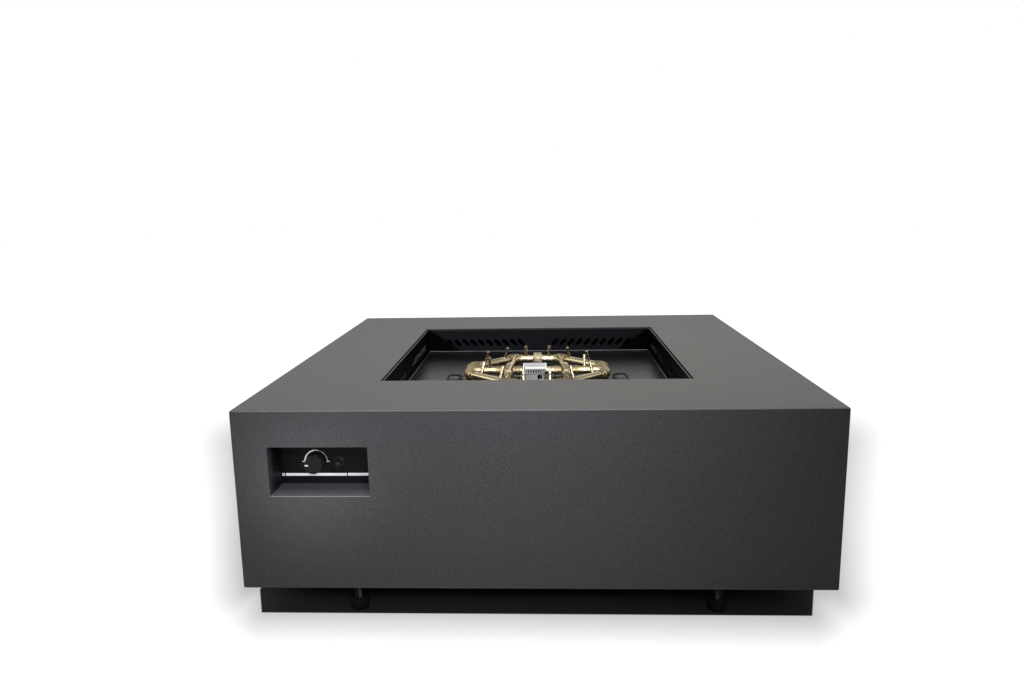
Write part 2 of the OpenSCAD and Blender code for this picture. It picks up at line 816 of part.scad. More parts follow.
module ring_pipes() {
    in_elbow = elbow_leg - socket_l + end_gap;
    a = [side_corner.x, side_corner.y, pipe_z] + in_elbow * [slant_dir.x, slant_dir.y, 0];
    b = [end_corner.x, end_corner.y, pipe_z] - in_elbow * [slant_dir.x, slant_dir.y, 0];
    end_x = end_corner.x - in_elbow;
    color(brass) drilled() {
        quarters() round_tube(a, b, pipe_r, pipe_in);
        quarters() round_tube([ring_x, tee_half - socket_l + end_gap, pipe_z],
            [ring_x, side_corner.y - in_elbow, pipe_z], pipe_r, pipe_in);
        round_tube([-end_x, -ring_y, pipe_z], [end_x, -ring_y, pipe_z], pipe_r, pipe_in);
        both_sides() round_tube([block_w / 2 - block_socket(), ring_y, pipe_z],
            [end_x, ring_y, pipe_z], pipe_r, pipe_in);
    }
}

// Depth that a pipe sits in the inlet block
function block_socket() = min(socket_l, block_w / 2 - 4);

// Bend with its corner at the origin, from -X to 45 degrees from +X, its ends inside the collars
module elbow_bend(r) {
    translate([-elbow_tangent, elbow_r, 0]) rotate([0, 0, -90]) rotate_extrude(angle = 45)
        translate([elbow_r, 0]) circle(r);
}

module elbow() {
    difference() {
        union() {
            elbow_bend(elbow_body_r);
            translate([-elbow_leg, 0, 0]) rotate([0, 90, 0]) cylinder(h = collar_l, r = collar_r);
            rotate([0, 0, 45]) translate([elbow_leg - collar_l, 0, 0]) rotate([0, 90, 0])
                cylinder(h = collar_l, r = collar_r);
        }
        elbow_bend(pipe_in);
        translate([-elbow_leg - 1, 0, 0]) rotate([0, 90, 0])
            cylinder(h = socket_l + 1, r = pipe_r + pipe_fit);
        rotate([0, 0, 45]) translate([elbow_leg - socket_l, 0, 0]) rotate([0, 90, 0])
            cylinder(h = socket_l + 1, r = pipe_r + pipe_fit);
    }
}

module ring_elbows() {
    color(cast_brass) quarters() {
        translate([side_corner.x, side_corner.y, pipe_z]) rotate([0, 0, 90]) elbow();
        translate([end_corner.x, end_corner.y, pipe_z]) rotate([0, 0, 135]) elbow();
    }
}

// Fitting with a run of half length run along X and branches of length branch at the angles given
module branch_fitting(run, branch, angles) {
    difference() {
        union() {
            rotate([0, 90, 0]) cylinder(h = 2 * run, r = tee_body_r, center = true);
            for (a = angles) rotate([0, 0, a]) rotate([0, 90, 0]) cylinder(h = branch, r = tee_body_r);
            for (a = [0, 180]) rotate([0, 0, a]) translate([run - collar_l, 0, 0]) rotate([0, 90, 0])
                cylinder(h = collar_l, r = collar_r);
            for (a = angles) rotate([0, 0, a]) translate([branch - collar_l, 0, 0])
                rotate([0, 90, 0]) cylinder(h = collar_l, r = collar_r);
        }
        rotate([0, 90, 0]) cylinder(h = 2 * run + 2, r = pipe_in, center = true);
        for (a = angles) rotate([0, 0, a]) rotate([0, 90, 0]) cylinder(h = branch + 1, r = pipe_in);
        for (a = [0, 180]) rotate([0, 0, a]) translate([run - socket_l, 0, 0]) rotate([0, 90, 0])
            cylinder(h = socket_l + 1, r = pipe_r + pipe_fit);
        for (a = angles) rotate([0, 0, a]) translate([branch - branch_socket(branch), 0, 0])
            rotate([0, 90, 0]) cylinder(h = branch_socket(branch) + 1, r = pipe_r + pipe_fit);
    }
}

// Depth that a pipe sits in a branch, down to the run's bore at most
function branch_socket(branch) = min(socket_l, branch - pipe_in - end_gap);

module side_tees() {
    color(cast_brass) both_sides() translate([ring_x, 0, pipe_z]) rotate([0, 0, 90])
        branch_fitting(tee_half, tee_branch_l, [90]);
}

module crossbar_pipes() {
    in_cross = cross_half - socket_l + end_gap;
    in_tee = tee_branch_l - branch_socket(tee_branch_l) + end_gap;
    color(brass) drilled() {
        round_tube([-cross_x + in_cross, 0, pipe_z], [cross_x - in_cross, 0, pipe_z], pipe_r, pipe_in);
        both_sides() round_tube([cross_x + in_cross, 0, pipe_z], [ring_x - in_tee, 0, pipe_z],
            pipe_r, pipe_in);
    }
}

module crosses() {
    color(cast_brass) both_sides() translate([cross_x, 0, pipe_z])
        branch_fitting(cross_half, branch_l, [90, -90]);
}

module stub_pipes() {
    color(brass) drilled() quarters()
        round_tube([cross_x, branch_l - branch_socket(branch_l) + end_gap, pipe_z],
            [cross_x, stub_l - plug_l, pipe_z], pipe_r, pipe_in);
}

// Slotted plugs that sit in the ends of the stubs
module stub_plugs() {
    slot_t = 2;
    slot_deep = 2;
    spigot_l = 9;
    color(brass) quarters() translate([cross_x, stub_l, pipe_z]) rotate([90, 0, 0]) difference() {
        union() {
            cylinder(h = plug_l, r = plug_r);
            cylinder(h = plug_l + spigot_l, r = pipe_in - pipe_fit);
        }
        rotate([0, 0, -45]) translate([-plug_r * 0.75, -slot_t / 2, -1])
            cube([plug_r * 1.5, slot_t, slot_deep + 1]);
    }
}

module burner_jets() {
    color(brass) at_jets() difference() {
        translate([0, 0, jet_root]) cylinder(h = jet_l - jet_root, r = jet_r);
        cylinder(h = jet_l + 1, r = jet_bore / 2);
        translate([0, 0, air_hole_at]) rotate([0, 90, 0])
            cylinder(h = jet_d + 2, r = air_hole_d / 2, center = true);
    }
}

module inlet_block() {
    half = block_w / 2;
    color(brass) difference() {
        translate([-half, ring_y - block_d / 2, pan_z]) cube([block_w, block_d, block_h]);
        both_sides() translate([half - block_socket() - end_gap, ring_y, pipe_z]) rotate([0, 90, 0])
            cylinder(h = block_socket() + end_gap + 1, r = pipe_r + pipe_fit);
        translate([-half, ring_y, pipe_z]) rotate([0, 90, 0]) cylinder(h = block_w, r = pipe_in / 2);
        translate([0, ring_y, pan_z - 1]) cylinder(h = pipe_z - pan_z + 1, r = pipe_in / 2);
        translate([0, ring_y, pan_z - 1])
            cylinder(h = riser_in_block + 1 + end_gap, r = riser_r + pipe_fit);
    }
}

module burner_riser() {
    color(brass) round_tube([0, ring_y, riser_bottom], [0, ring_y, pan_z + riser_in_block],
        riser_r, pipe_in);
}

module riser_locknut() {
    color(brass) translate([0, ring_y, pan_z - pan_t - locknut_h]) difference() {
        hex_bar(locknut_flats, locknut_h);
        translate([0, 0, -1]) cylinder(h = locknut_h + 2, r = riser_r + pipe_fit);
    }
}

// Pilot

// Front outline of the hood: roof falling a little along its sides, tapering apron
module hood_front() {
    foot = hood_eave - hood_apron;
    side = hood_top - hood_side_fall;
    polygon([
        [-hood_w / 2 + hood_side_l, hood_top], [-hood_w / 2, side], [-hood_w / 2, hood_eave - 2],
        [-pilot_box_w / 2, foot], [pilot_box_w / 2, foot],
        [hood_w / 2, hood_eave - 2], [hood_w / 2, side], [hood_w / 2 - hood_side_l, hood_top]
    ]);
}

module pilot_hood() {
    back = pilot_y + hood_d;
    brk = pilot_y + hood_fall;
    slot_span = pilot_box_w - 3;
    pitch = slot_span / (hood_slots - 1);
    hood_slot_w = 3.2;
    color(plate_steel) translate([pilot_x, 0, 0]) difference() {
        intersection() {
            rotate([90, 0, 90]) translate([0, 0, -hood_w / 2]) linear_extrude(hood_w) polygon([
                [back, hood_top], [brk, hood_top], [pilot_y, hood_eave], [pilot_y, hood_eave - hood_apron],
                [pilot_y + hood_t, hood_eave - hood_apron], [pilot_y + hood_t, hood_eave - hood_t],
                [brk, hood_top - hood_t], [back, hood_top - hood_t]
            ]);
            translate([0, back + 1, 0]) rotate([90, 0, 0]) linear_extrude(hood_d + 2) hood_front();
        }
        for (i = [0 : hood_slots - 1]) {
            outermost = i == 0 || i == hood_slots - 1;
            tall = outermost ? hood_apron * 0.25 : hood_slot_l;
            slot_x = (i - (hood_slots - 1) / 2) * pitch - hood_slot_w / 2;
            translate([slot_x, pilot_y - 1, hood_slot_top - tall]) cube([hood_slot_w, hood_t + 2, tall]);
        }
    }
}

module pilot_box() {
    front = pilot_y + hood_t + end_gap;
    sight_rise = 12.5;
    vent_w = 6;
    color(plate_steel) translate([pilot_x, 0, 0]) difference() {
        translate([-pilot_box_w / 2, front, pan_z]) cube([pilot_box_w, pilot_box_d, pilot_box_h]);
        translate([-pilot_box_w / 2 + hood_t, front + hood_t, pan_z - 1])
            cube([pilot_box_w - 2 * hood_t, pilot_box_d - 2 * hood_t, pilot_box_h + 1 - hood_t]);
        translate([sight_x, front - 1, pan_z + sight_rise]) rotate([-90, 0, 0])
            cylinder(h = hood_t + 2, r = sight_d / 2);
        translate([-pilot_box_w / 2 + 2 * hood_t, front - 1, hood_slot_top - hood_slot_l])
            cube([pilot_box_w - 4 * hood_t, hood_t + 2, hood_slot_l]);
        for (x = [-1, 0, 1])
            translate([x * pilot_box_w / 4 - vent_w / 2, front + pilot_box_d / 3, pan_z + pilot_box_h / 2])
                cube([vent_w, pilot_box_d / 2, pilot_box_h]);
    }
}

module pilot_burner() {
    stem_h = 16;
    stem_r = 3.6;
    cup_h = 9;
    cup_r = 5.5;
    cup_wall = 1.2;
    color(plate_steel) translate([pilot_jet_x, pilot_gear_y, pan_z]) {
        cylinder(h = stem_h, r = stem_r);
        translate([0, 0, stem_h]) difference() {
            cylinder(h = cup_h, r = cup_r);
            translate([0, 0, cup_wall]) cylinder(h = cup_h, r = cup_r - cup_wall);
        }
    }
}

module spark_electrode() {
    sleeve_h = 10;
    sleeve_r = 3.2;
    rod_r = 1.2;
    color(ceramic_white) translate([spark_x, pilot_gear_y, pan_z]) {
        cylinder(h = sleeve_h, r = sleeve_r);
        cylinder(h = pilot_gear_h, r = rod_r);
    }
}

// Route of the flame sensor's lead, from the pilot back to the valve
sensor_lead_drop = 70;
sensor_lead_reach = [0, 220, -30];
sensor_from = [sensor_x, pilot_gear_y, pan_z];
sensor_route = route(sensor_from, sensor_from - [0, 0, sensor_lead_drop],
    sensor_port_at + sensor_lead_reach, sensor_port_at, 30);

module flame_sensor() {
    tip_r = 2.4;
    color(copper) {
        translate(sensor_from) cylinder(h = pilot_gear_h, r = tip_r);
        flex_line(sensor_route, [0, 0, -1], [0, -1, 0], sensor_lead_d / 2, 8);
    }
}

// Lift bails

// Wire bail on the right, lying outwards at rest
module bail_form() {
    front_y = bail_y - bail_l;
    grip_x = bail_x + bail_reach;
    for (y = [bail_y, front_y]) {
        rod([bail_x, y, bail_z], [grip_x, y, bail_z], bail_r);
        translate([bail_x, y, bail_z]) sphere(bail_r);
        translate([grip_x, y, bail_z]) sphere(bail_grip_r);
    }
    rod([grip_x, bail_y, bail_z], [grip_x, front_y, bail_z], bail_grip_r);
    rod([bail_x, bail_y, bail_z], [bail_x, bail_y - bail_pin_l, bail_z], bail_r);
    rod([bail_x, front_y, bail_z], [bail_x, front_y + bail_pin_l, bail_z], bail_r);
}

module right_bail() {
    color(knob_black) bail_form();
}

module left_bail() {
    color(knob_black) mirror([1, 0, 0]) bail_form();
}

// Ears that hold the bails' pivots, each with a foot that carries a stop under the leg
module bail_ears() {
    foot_t = 1.5;
    stop_w = 6;
    color(satin_black) both_sides() for (s = [0, 1])
        translate([bail_x, bail_y - s * bail_l, pan_z]) mirror([0, s, 0]) difference() {
            union() {
                translate([-ear_w / 2, -bail_pin_l, 0]) cube([ear_w, ear_t, bail_lift]);
                translate([0, -bail_pin_l, bail_lift]) rotate([-90, 0, 0])
                    cylinder(h = ear_t, r = ear_w / 2);
                translate([-ear_w / 2, -bail_pin_l, 0])
                    cube([ear_w + stop_w, bail_pin_l + bail_r, foot_t]);
                translate([ear_w / 2, -bail_r, 0])
                    cube([stop_w, 2 * bail_r, bail_lift - bail_r - seam]);
            }
            translate([0, -bail_pin_l - 1, bail_lift]) rotate([-90, 0, 0])
                cylinder(h = ear_t + 2, r = bail_r + bail_fit);
        }
}

// Control pocket

module pocket_box() {
    t = pocket_t;
    f = pocket_flange;
    front = face_y + sheet_t;
    color(satin_black) difference() {
        union() {
            translate([pocket_x - t, front, pocket_z - t])
                cube([pocket_w + 2 * t, panel_y - front, pocket_h + 2 * t]);
            translate([pocket_x - f, front, pocket_z - f])
                cube([pocket_w + 2 * f, t, pocket_h + 2 * f]);
            translate([pocket_x - f, panel_y - t, pocket_z - f])
                cube([pocket_w + 2 * f, t, pocket_h + 2 * f]);
        }
        translate([pocket_x, front - 1, pocket_z]) cube([pocket_w, pocket_d + 2, pocket_h]);
        at_panel_screws() translate([0, 0, -pocket_t - 1])
            cylinder(h = pocket_t + 2, r = panel_screw_r + pipe_fit);
    }
}

// Screw places round the control panel, each turned so that +Z points to the back
module at_panel_screws() {
    out = pocket_flange / 2 + pocket_t / 2;
    for (x = [pocket_x - out, pocket_x + pocket_w + out],
            z = [pocket_z + pocket_flange, pocket_top - pocket_flange])
        translate([x, panel_y, z]) rotate([-90, 0, 0]) children();
}

module control_panel() {
    f = pocket_flange;
    color(satin_black) difference() {
        translate([pocket_x - f, panel_y, pocket_z - f])
            cube([pocket_w + 2 * f, panel_t, pocket_h + 2 * f]);
        at_panel_screws() translate([0, 0, -1])
            cylinder(h = panel_t + 2, r = panel_screw_r + pipe_fit);
        translate([knob_x, panel_y - 1, knob_z]) rotate([-90, 0, 0])
            cylinder(h = panel_t + 2, r = spindle_r + 1);
        for (s = [-1, 1]) translate([knob_x, panel_y - 1, knob_z + s * valve_screw_at])
            rotate([-90, 0, 0]) cylinder(h = panel_t + 2, r = valve_screw_r + pipe_fit);
        translate([button_x, panel_y - 1, button_z]) rotate([-90, 0, 0])
            cylinder(h = panel_t + 2, r = barrel_r + pipe_fit);
    }
}

// Printed dial: an arc over the knob that thins clockwise, end ticks and a broken stripe below
module panel_marks() {
    mark_t = 0.3;
    arc_r = knob_r + 6;
    arc_rise = 1.9;
    thick = 3;
    thin = 1;
    cut_w = 1;
    tick_l = 6.6;
    tick_h = 1.6;
    stripe_drop = 27.6;
    stripe_h = 6;
    stripe_gap = 2.2;
    first_stripe = [0.6, 6];
    second_stripe_l = 130.6;
    second_stripe = [first_stripe[0] + first_stripe[1] + stripe_gap, second_stripe_l];
    third_x = second_stripe[0] + second_stripe_l + stripe_gap;
    stripes = [first_stripe, second_stripe, [third_x, pocket_w - third_x - first_stripe[0]]];
    color(mark_white) translate([0, panel_y, 0]) rotate([90, 0, 0]) {
        translate([knob_x, knob_z + arc_rise]) linear_extrude(mark_t) {
            difference() {
                circle(arc_r);
                translate([(thick - thin) / 2, 0]) circle(arc_r - (thick + thin) / 2);
                translate([-2 * arc_r, -4 * arc_r + cut_w]) square(4 * arc_r);
                translate([-cut_w / 2, 0]) square([cut_w, 2 * arc_r]);
                for (a = [15, 27, 39]) rotate(a) translate([arc_r / 2, -cut_w / 2])
                    square([arc_r, cut_w]);
            }
            for (s = [-1, 1]) translate([s * (arc_r + cut_w) - tick_l / 2, -tick_h])
                square([tick_l, tick_h]);
        }
        for (s = stripes) translate([pocket_x + s[0], knob_z - stripe_drop - stripe_h / 2])
            cube([s[1], stripe_h, mark_t]);
    }
}

module panel_screws() {
    head_h = 2.4;
    tip = 3;
    color(zinc) at_panel_screws() {
        translate([0, 0, -pocket_t - tip]) cylinder(h = pocket_t + panel_t + tip, r = panel_screw_r);
        translate([0, 0, panel_t]) cylinder(h = head_h, r = 2 * panel_screw_r);
    }
}

// Valve, with a stepped bore for the spindle, the plunger and its spring, and brass ports
module valve_body() {
    color(zinc) difference() {
        union() {
            translate([knob_x - valve_w / 2, panel_back, valve_bottom]) cube([valve_w, valve_d, valve_h]);
            translate(outlet_at - [0, port_l, 0]) rotate([-90, 0, 0]) hex_bar(2 * port_r, port_l);
            translate(inlet_port_at) hex_bar(2 * port_r, port_l + 1);
            for (p = [pilot_port_at, sensor_port_at]) translate([p.x, valve_back, p.z])
                rotate([-90, 0, 0]) hex_bar(small_port_flats, small_port_l);
        }
        translate([knob_x, panel_back - 1, knob_z]) rotate([-90, 0, 0])
            cylinder(h = valve_neck + 2, r = spindle_r + slide_fit);
        translate([knob_x, panel_back + valve_neck, knob_z]) rotate([-90, 0, 0])
            cylinder(h = chamber_end - panel_back - valve_neck, r = plunger_r);
        for (s = [-1, 1]) translate([knob_x, panel_back - 1, knob_z + s * valve_screw_at])
            rotate([-90, 0, 0]) cylinder(h = valve_screw_l + 3, r = valve_screw_r + pipe_fit);
    }
}

module valve_screws() {
    head_h = 1.6;
    color(zinc) for (s = [-1, 1]) translate([knob_x, panel_y, knob_z + s * valve_screw_at])
        rotate([-90, 0, 0]) {
            cylinder(h = panel_t + valve_screw_l, r = valve_screw_r);
            translate([0, 0, -head_h]) cylinder(h = head_h, r = 1.6 * valve_screw_r);
        }
}

module valve_plunger() {
    color(brass) translate([knob_x, spindle_end, knob_z]) rotate([-90, 0, 0])
        cylinder(h = plunger_l, r = plunger_r - slide_fit);
}

// Spring at its length with the knob pushed in
module valve_spring() {
    front = spindle_end + plunger_l + knob_travel + end_gap;
    color(zinc) round_tube([knob_x, front, knob_z], [knob_x, chamber_end, knob_z],
        plunger_r - 1, plunger_r - 2.2);
}

// Hollow moulded knob with a boss for the spindle
module knob() {
    edge = 0.9;
    wall = 1.8;
    boss_r = 7;
    h = knob_reach - knob_gap;
    color(knob_black) translate([knob_x, panel_y - knob_reach, knob_z]) rotate([-90, 0, 0]) difference() {
        rotate_extrude() {
            translate([0, edge]) square([knob_r, h - edge]);
            square([knob_r - edge, h]);
            translate([knob_r - edge, edge]) circle(edge);
        }
        translate([0, 0, knob_face_t]) difference() {
            cylinder(h = h, r = knob_r - wall);
            translate([0, 0, -1]) cylinder(h = h + 2, r = boss_r);
        }
        translate([0, 0, knob_face_t]) cylinder(h = h, r = spindle_r + slide_fit);
        translate([-knob_r + pointer_in, -pointer_w / 2, -1])
            cube([pointer_l, pointer_w, 1 + pointer_seat]);
    }
}

module knob_pointer() {
    proud = 0.3;
    color(mark_white)
        translate([knob_x - knob_r + pointer_in, panel_y - knob_reach - proud, knob_z - pointer_w / 2])
            cube([pointer_l, pointer_seat + proud, pointer_w]);
}

module knob_spindle() {
    color(zinc) rod([knob_x, panel_y - knob_reach + knob_face_t + end_gap, knob_z],
        [knob_x, spindle_end, knob_z], spindle_r);
}

// Igniter

module igniter_barrel() {
    edge = 2;
    color(knob_black) translate([button_x, 0, button_z]) rotate([-90, 0, 0]) difference() {
        union() {
            translate([0, 0, barrel_front]) cylinder(h = barrel_back - barrel_front, r = barrel_r);
            translate([0, 0, barrel_back]) cylinder(h = barrel_tail_l, r = barrel_tail_r);
            translate([0, 0, panel_y - bezel_h]) rotate_extrude() {
                translate([0, edge]) square([bezel_d / 2, bezel_h - edge]);
                square([bezel_d / 2 - edge, bezel_h]);
                translate([bezel_d / 2 - edge, edge]) circle(edge);
            }
        }
        translate([0, 0, barrel_front - 1])
            cylinder(h = battery_front - barrel_front + 1, r = button_r + slide_fit);
        translate([0, 0, battery_front - 1])
            cylinder(h = battery_l + 1 + end_gap, r = battery_r + end_gap);
    }
}

module igniter_nut() {
    nut_h = 6;
    color(knob_black) translate([button_x, panel_back, button_z]) rotate([-90, 0, 0]) difference() {
        hex_bar(2 * barrel_r + 5, nut_h);
        translate([0, 0, -1]) cylinder(h = nut_h + 2, r = barrel_r + pipe_fit);
    }
}

module igniter_button() {
    dome = 3;
    color(knob_black) translate([button_x, panel_y - button_reach, button_z]) rotate([-90, 0, 0])
        rotate_extrude() {
            translate([0, dome]) square([button_r, button_back - panel_y + button_reach - dome]);
            square([button_r - dome, dome + 1]);
            translate([button_r - dome, dome]) intersection() {
                circle(dome);
                translate([0, -dome]) square([dome, dome]);
            }
        }
}

// Spring at its length with the button pushed in
module igniter_spring() {
    front = button_back + button_travel + end_gap;
    color(zinc) round_tube([button_x, front, button_z], [button_x, battery_front, button_z],
        battery_r - 0.4, battery_r - 1.4);
}

module igniter_battery() {
    color(brass) rod([button_x, battery_front, button_z], [button_x, battery_front + battery_l, button_z],
        battery_r);
}

// Gas lines

// Brass union nuts where the hoses end, the first one on the burner's riser
module hose_nuts() {
    color(brass) {
        translate([0, ring_y, riser_at.z]) difference() {
            hex_bar(2 * hose_nut_r, hose_nut_l);
            translate([0, 0, hose_nut_l - hose_nut_socket])
                cylinder(h = hose_nut_socket + 1, r = riser_r + pipe_fit);
        }
        translate(outlet_at) rotate([-90, 0, 0]) hex_bar(line_nut_flats, line_nut_l);
        translate(inlet_port_at - [0, 0, line_nut_l]) hex_bar(line_nut_flats, line_nut_l);
        translate([inlet_x, inlet_y, inlet_top]) hex_bar(line_nut_flats, line_nut_l);
    }
}

// How far each gas line runs straight out at its two ends before it bends
outlet_reach = 230;
outlet_drop = 230;
supply_rise = 110;
supply_drop = 120;
pilot_tube_drop = 230;
pilot_tube_reach = [0, 250, -60];
spark_wire_drop = 120;
spark_wire_reach = [0, 210, -20];

outlet_from = outlet_at + [0, line_nut_l, 0];
outlet_route = route(outlet_from, outlet_from + [0, outlet_reach, 0],
    riser_at - [0, 0, outlet_drop], riser_at, 34);
supply_from = [inlet_x, inlet_y, inlet_top + line_nut_l];
supply_to = inlet_port_at - [0, 0, line_nut_l];
supply_route = route(supply_from, supply_from + [0, 0, supply_rise],
    supply_to - [0, 0, supply_drop], supply_to, 26);
pilot_from = [pilot_jet_x, pilot_gear_y, pan_z];
pilot_route = route(pilot_from, pilot_from - [0, 0, pilot_tube_drop],
    pilot_port_at + pilot_tube_reach, pilot_port_at, 34);
spark_from = [spark_x, pilot_gear_y, pan_z];
spark_route = route(spark_from, spark_from - [0, 0, spark_wire_drop],
    spark_port_at + spark_wire_reach, spark_port_at, 34);

module outlet_hose() {
    color(zinc) flex_line(outlet_route, [0, 1, 0], [0, 0, 1], hose_d / 2, 10);
}

module supply_hose() {
    color(zinc) flex_line(supply_route, [0, 0, 1], [0, 0, 1], hose_d / 2, 10);
}

module pilot_tube() {
    color(plate_steel) flex_line(pilot_route, [0, 0, -1], [0, -1, 0], pilot_tube_d / 2, 8);
}

module ignition_wire() {
    color(wire_black) flex_line(spark_route, [0, 0, -1], [0, -1, 0], spark_wire_d / 2, 8);
}

// Inlet fitting with its shelf on the left base rail
module gas_inlet() {
    color(brass) {
        translate([-in_w / 2 + rail, inlet_y - inlet_shelf_w / 2, inlet_shelf_z])
            cube([inlet_x + inlet_shelf_over + in_w / 2 - rail, inlet_shelf_w, inlet_shelf_t]);
        translate([-in_w / 2 + rail, inlet_y - inlet_shelf_w / 2, inlet_web_z])
            cube([inlet_shelf_t, inlet_shelf_w, inlet_shelf_z - inlet_web_z]);
        translate([inlet_x, inlet_y, inlet_shelf_z + inlet_shelf_t]) hex_bar(inlet_nut_flats, inlet_nut_h);
        translate([inlet_x, inlet_y, inlet_shelf_z - inlet_l]) cylinder(h = inlet_l + 1, r = inlet_d / 2);
    }
}

top_panel();
front_panel();
back_panel();
left_panel();
right_panel();
corner_posts();
base_rails();
rim_rails();
opening_rails();
bearer_posts();
bearer_rails();
foot_stems();
foot_pads();
liner_walls();
liner_ledge();
burner_pan();
pan_screws();
pan_nuts();
heat_shield();
ring_pipes();
ring_elbows();
side_tees();
crossbar_pipes();
crosses();
stub_pipes();
stub_plugs();
burner_jets();
inlet_block();
burner_riser();
riser_locknut();
pilot_hood();
pilot_box();
pilot_burner();
spark_electrode();
flame_sensor();
bail_ears();
left_bail();
right_bail();
pocket_box();
control_panel();
panel_marks();
panel_screws();
valve_body();
valve_screws();
valve_plunger();
valve_spring();
knob();
knob_pointer();
knob_spindle();
igniter_barrel();
igniter_nut();
igniter_button();
igniter_spring();
igniter_battery();
hose_nuts();
outlet_hose();
supply_hose();
pilot_tube();
ignition_wire();
gas_inlet();
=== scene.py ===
import json
from math import cos, pi, radians, sin, tan

import bmesh
import bpy
from mathutils import Matrix, Vector


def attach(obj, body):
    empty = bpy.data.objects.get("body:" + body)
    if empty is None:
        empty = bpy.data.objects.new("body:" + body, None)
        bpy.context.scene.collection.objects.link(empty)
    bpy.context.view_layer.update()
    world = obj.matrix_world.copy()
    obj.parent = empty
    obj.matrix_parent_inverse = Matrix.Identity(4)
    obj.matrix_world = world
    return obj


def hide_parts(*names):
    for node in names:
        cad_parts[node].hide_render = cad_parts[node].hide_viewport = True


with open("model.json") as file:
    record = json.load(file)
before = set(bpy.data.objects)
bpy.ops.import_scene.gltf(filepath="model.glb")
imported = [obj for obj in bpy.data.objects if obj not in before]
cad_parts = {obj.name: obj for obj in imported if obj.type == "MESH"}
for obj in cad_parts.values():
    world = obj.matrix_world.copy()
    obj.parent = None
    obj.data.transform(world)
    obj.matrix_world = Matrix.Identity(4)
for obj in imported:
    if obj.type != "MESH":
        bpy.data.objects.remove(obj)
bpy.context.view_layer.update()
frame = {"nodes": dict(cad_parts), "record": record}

nodes = frame["nodes"]
MM = 0.001


# Shader building


class Value:
    """A shader socket that takes part in plain arithmetic."""

    def __init__(self, wiring, socket):
        self.wiring = wiring
        self.socket = socket

    def math(self, operation, *values):
        return self.wiring.add("ShaderNodeMath", {"operation": operation}, dict(enumerate(values)))

    def __add__(self, other):
        return self.math("ADD", self, other)

    __radd__ = __add__

    def __sub__(self, other):
        return self.math("SUBTRACT", self, other)

    def __rsub__(self, other):
        return self.math("SUBTRACT", other, self)

    def __mul__(self, other):
        return self.math("MULTIPLY", self, other)

    __rmul__ = __mul__

    def __truediv__(self, other):
        return self.math("DIVIDE", self, other)

    def __rtruediv__(self, other):
        return self.math("DIVIDE", other, self)

    def __pow__(self, other):
        return self.math("POWER", self, other)

    def __abs__(self):
        return self.math("ABSOLUTE", self)

    def least(self, other):
        return self.math("MINIMUM", self, other)

    def most(self, other):
        return self.math("MAXIMUM", self, other)

    def over(self, low, high):
        """0 below low, 1 above high, smooth between them."""
        sockets = {"Value": self, "From Min": low, "From Max": high}
        return self.wiring.add("ShaderNodeMapRange", {"interpolation_type": "SMOOTHSTEP"}, sockets)


class Wiring:
    """The node tree of a material or a world, built up node by node."""

    def __init__(self, owner):
        owner.use_nodes = True
        self.tree = owner.node_tree
        self.tree.nodes.clear()

    def feed(self, socket, value):
        if isinstance(value, Value):
            self.tree.links.new(value.socket, socket)
        elif hasattr(value, "__len__") and len(value) == 3 and socket.type == "RGBA":
            socket.default_value = (*value, 1)
        else:
            socket.default_value = value

    def add(self, kind, settings, sockets, result=0):
        """Adds a node: its settings first, then the values or links of its sockets."""
        node = self.tree.nodes.new(kind)
        for key, value in settings.items():
            setattr(node, key, value)
        for key, value in sockets.items():
            self.feed(node.inputs[key], value)
        return Value(self, node.outputs[result])

    def close(self, kind, shader):
        """Ends the tree in an output node of the kind given."""
        self.tree.links.new(shader, self.tree.nodes.new(kind).inputs[0])


class Finish(Wiring):
    """A material round one Principled shader, whose plain settings are given at once."""

    def __init__(self, name, **plain):
        self.material = bpy.data.materials.new(name)
        super().__init__(self.material)
        self.shader = self.tree.nodes.new("ShaderNodeBsdfPrincipled")
        self.close("ShaderNodeOutputMaterial", self.shader.outputs[0])
        for key, value in plain.items():
            self.shader_input(key.replace("_", " ").title().replace("Ior", "IOR"), value)
        self.place = self.add("ShaderNodeTexCoord", {}, {}, "Object")

    def shader_input(self, name, value):
        self.feed(self.shader.inputs[name], value)

    def stretched(self, x, y, z, turn=(0, 0, 0)):
        """The object's own place, scaled by x, y and z."""
        sockets = {"Vector": self.place, "Scale": (x, y, z), "Rotation": turn}
        return self.add("ShaderNodeMapping", {}, sockets)

    def noise(self, scale, detail=2.0, rough=0.5, at=None):
        sockets = {"Vector": at or self.place, "Scale": scale, "Detail": detail, "Roughness": rough}
        return self.add("ShaderNodeTexNoise", {}, sockets)

    def blend(self, factor, low, high):
        """The colour low where factor is 0, high where it is 1."""
        settings = {"data_type": "RGBA"}
        return self.add("ShaderNodeMix", settings, {0: factor, 6: low, 7: high}, 2)

    def bump(self, height, depth, strength):
        """Relief of the height given, depth in metres."""
        sockets = {"Height": height, "Distance": depth, "Strength": strength}
        self.shader_input("Normal", self.add("ShaderNodeBump", {}, sockets))

    def sheet_relief(self):
        """Raises the waves and the fine grain of painted sheet, and gives both back."""
        wave, fine = self.noise(60), self.noise(900)
        self.bump(0.35 * wave + 0.65 * fine, 0.00008, 0.5)
        return wave, fine

    def part(self, axis, of=None):
        """One coordinate of the object's own place, or of the vector given."""
        return self.add("ShaderNodeSeparateXYZ", {}, {0: of or self.place}, "XYZ".index(axis))

    def facing(self, axis):
        """How squarely the surface faces along an axis, 0 to 1 either way."""
        normal = self.add("ShaderNodeTexCoord", {}, {}, "Normal")
        return abs(self.part(axis, normal))


# Finishes. Heights and places on the table are in metres.

CASING_FOOT = 0.051
TABLE_TOP = 0.432
BOWL_HALF = 0.352
BEAD_FOOT = 0.3592
POCKET_MOUTH = -0.6095
HOOD_MIDDLE = -0.006
PLUG_FACE = 0.0561


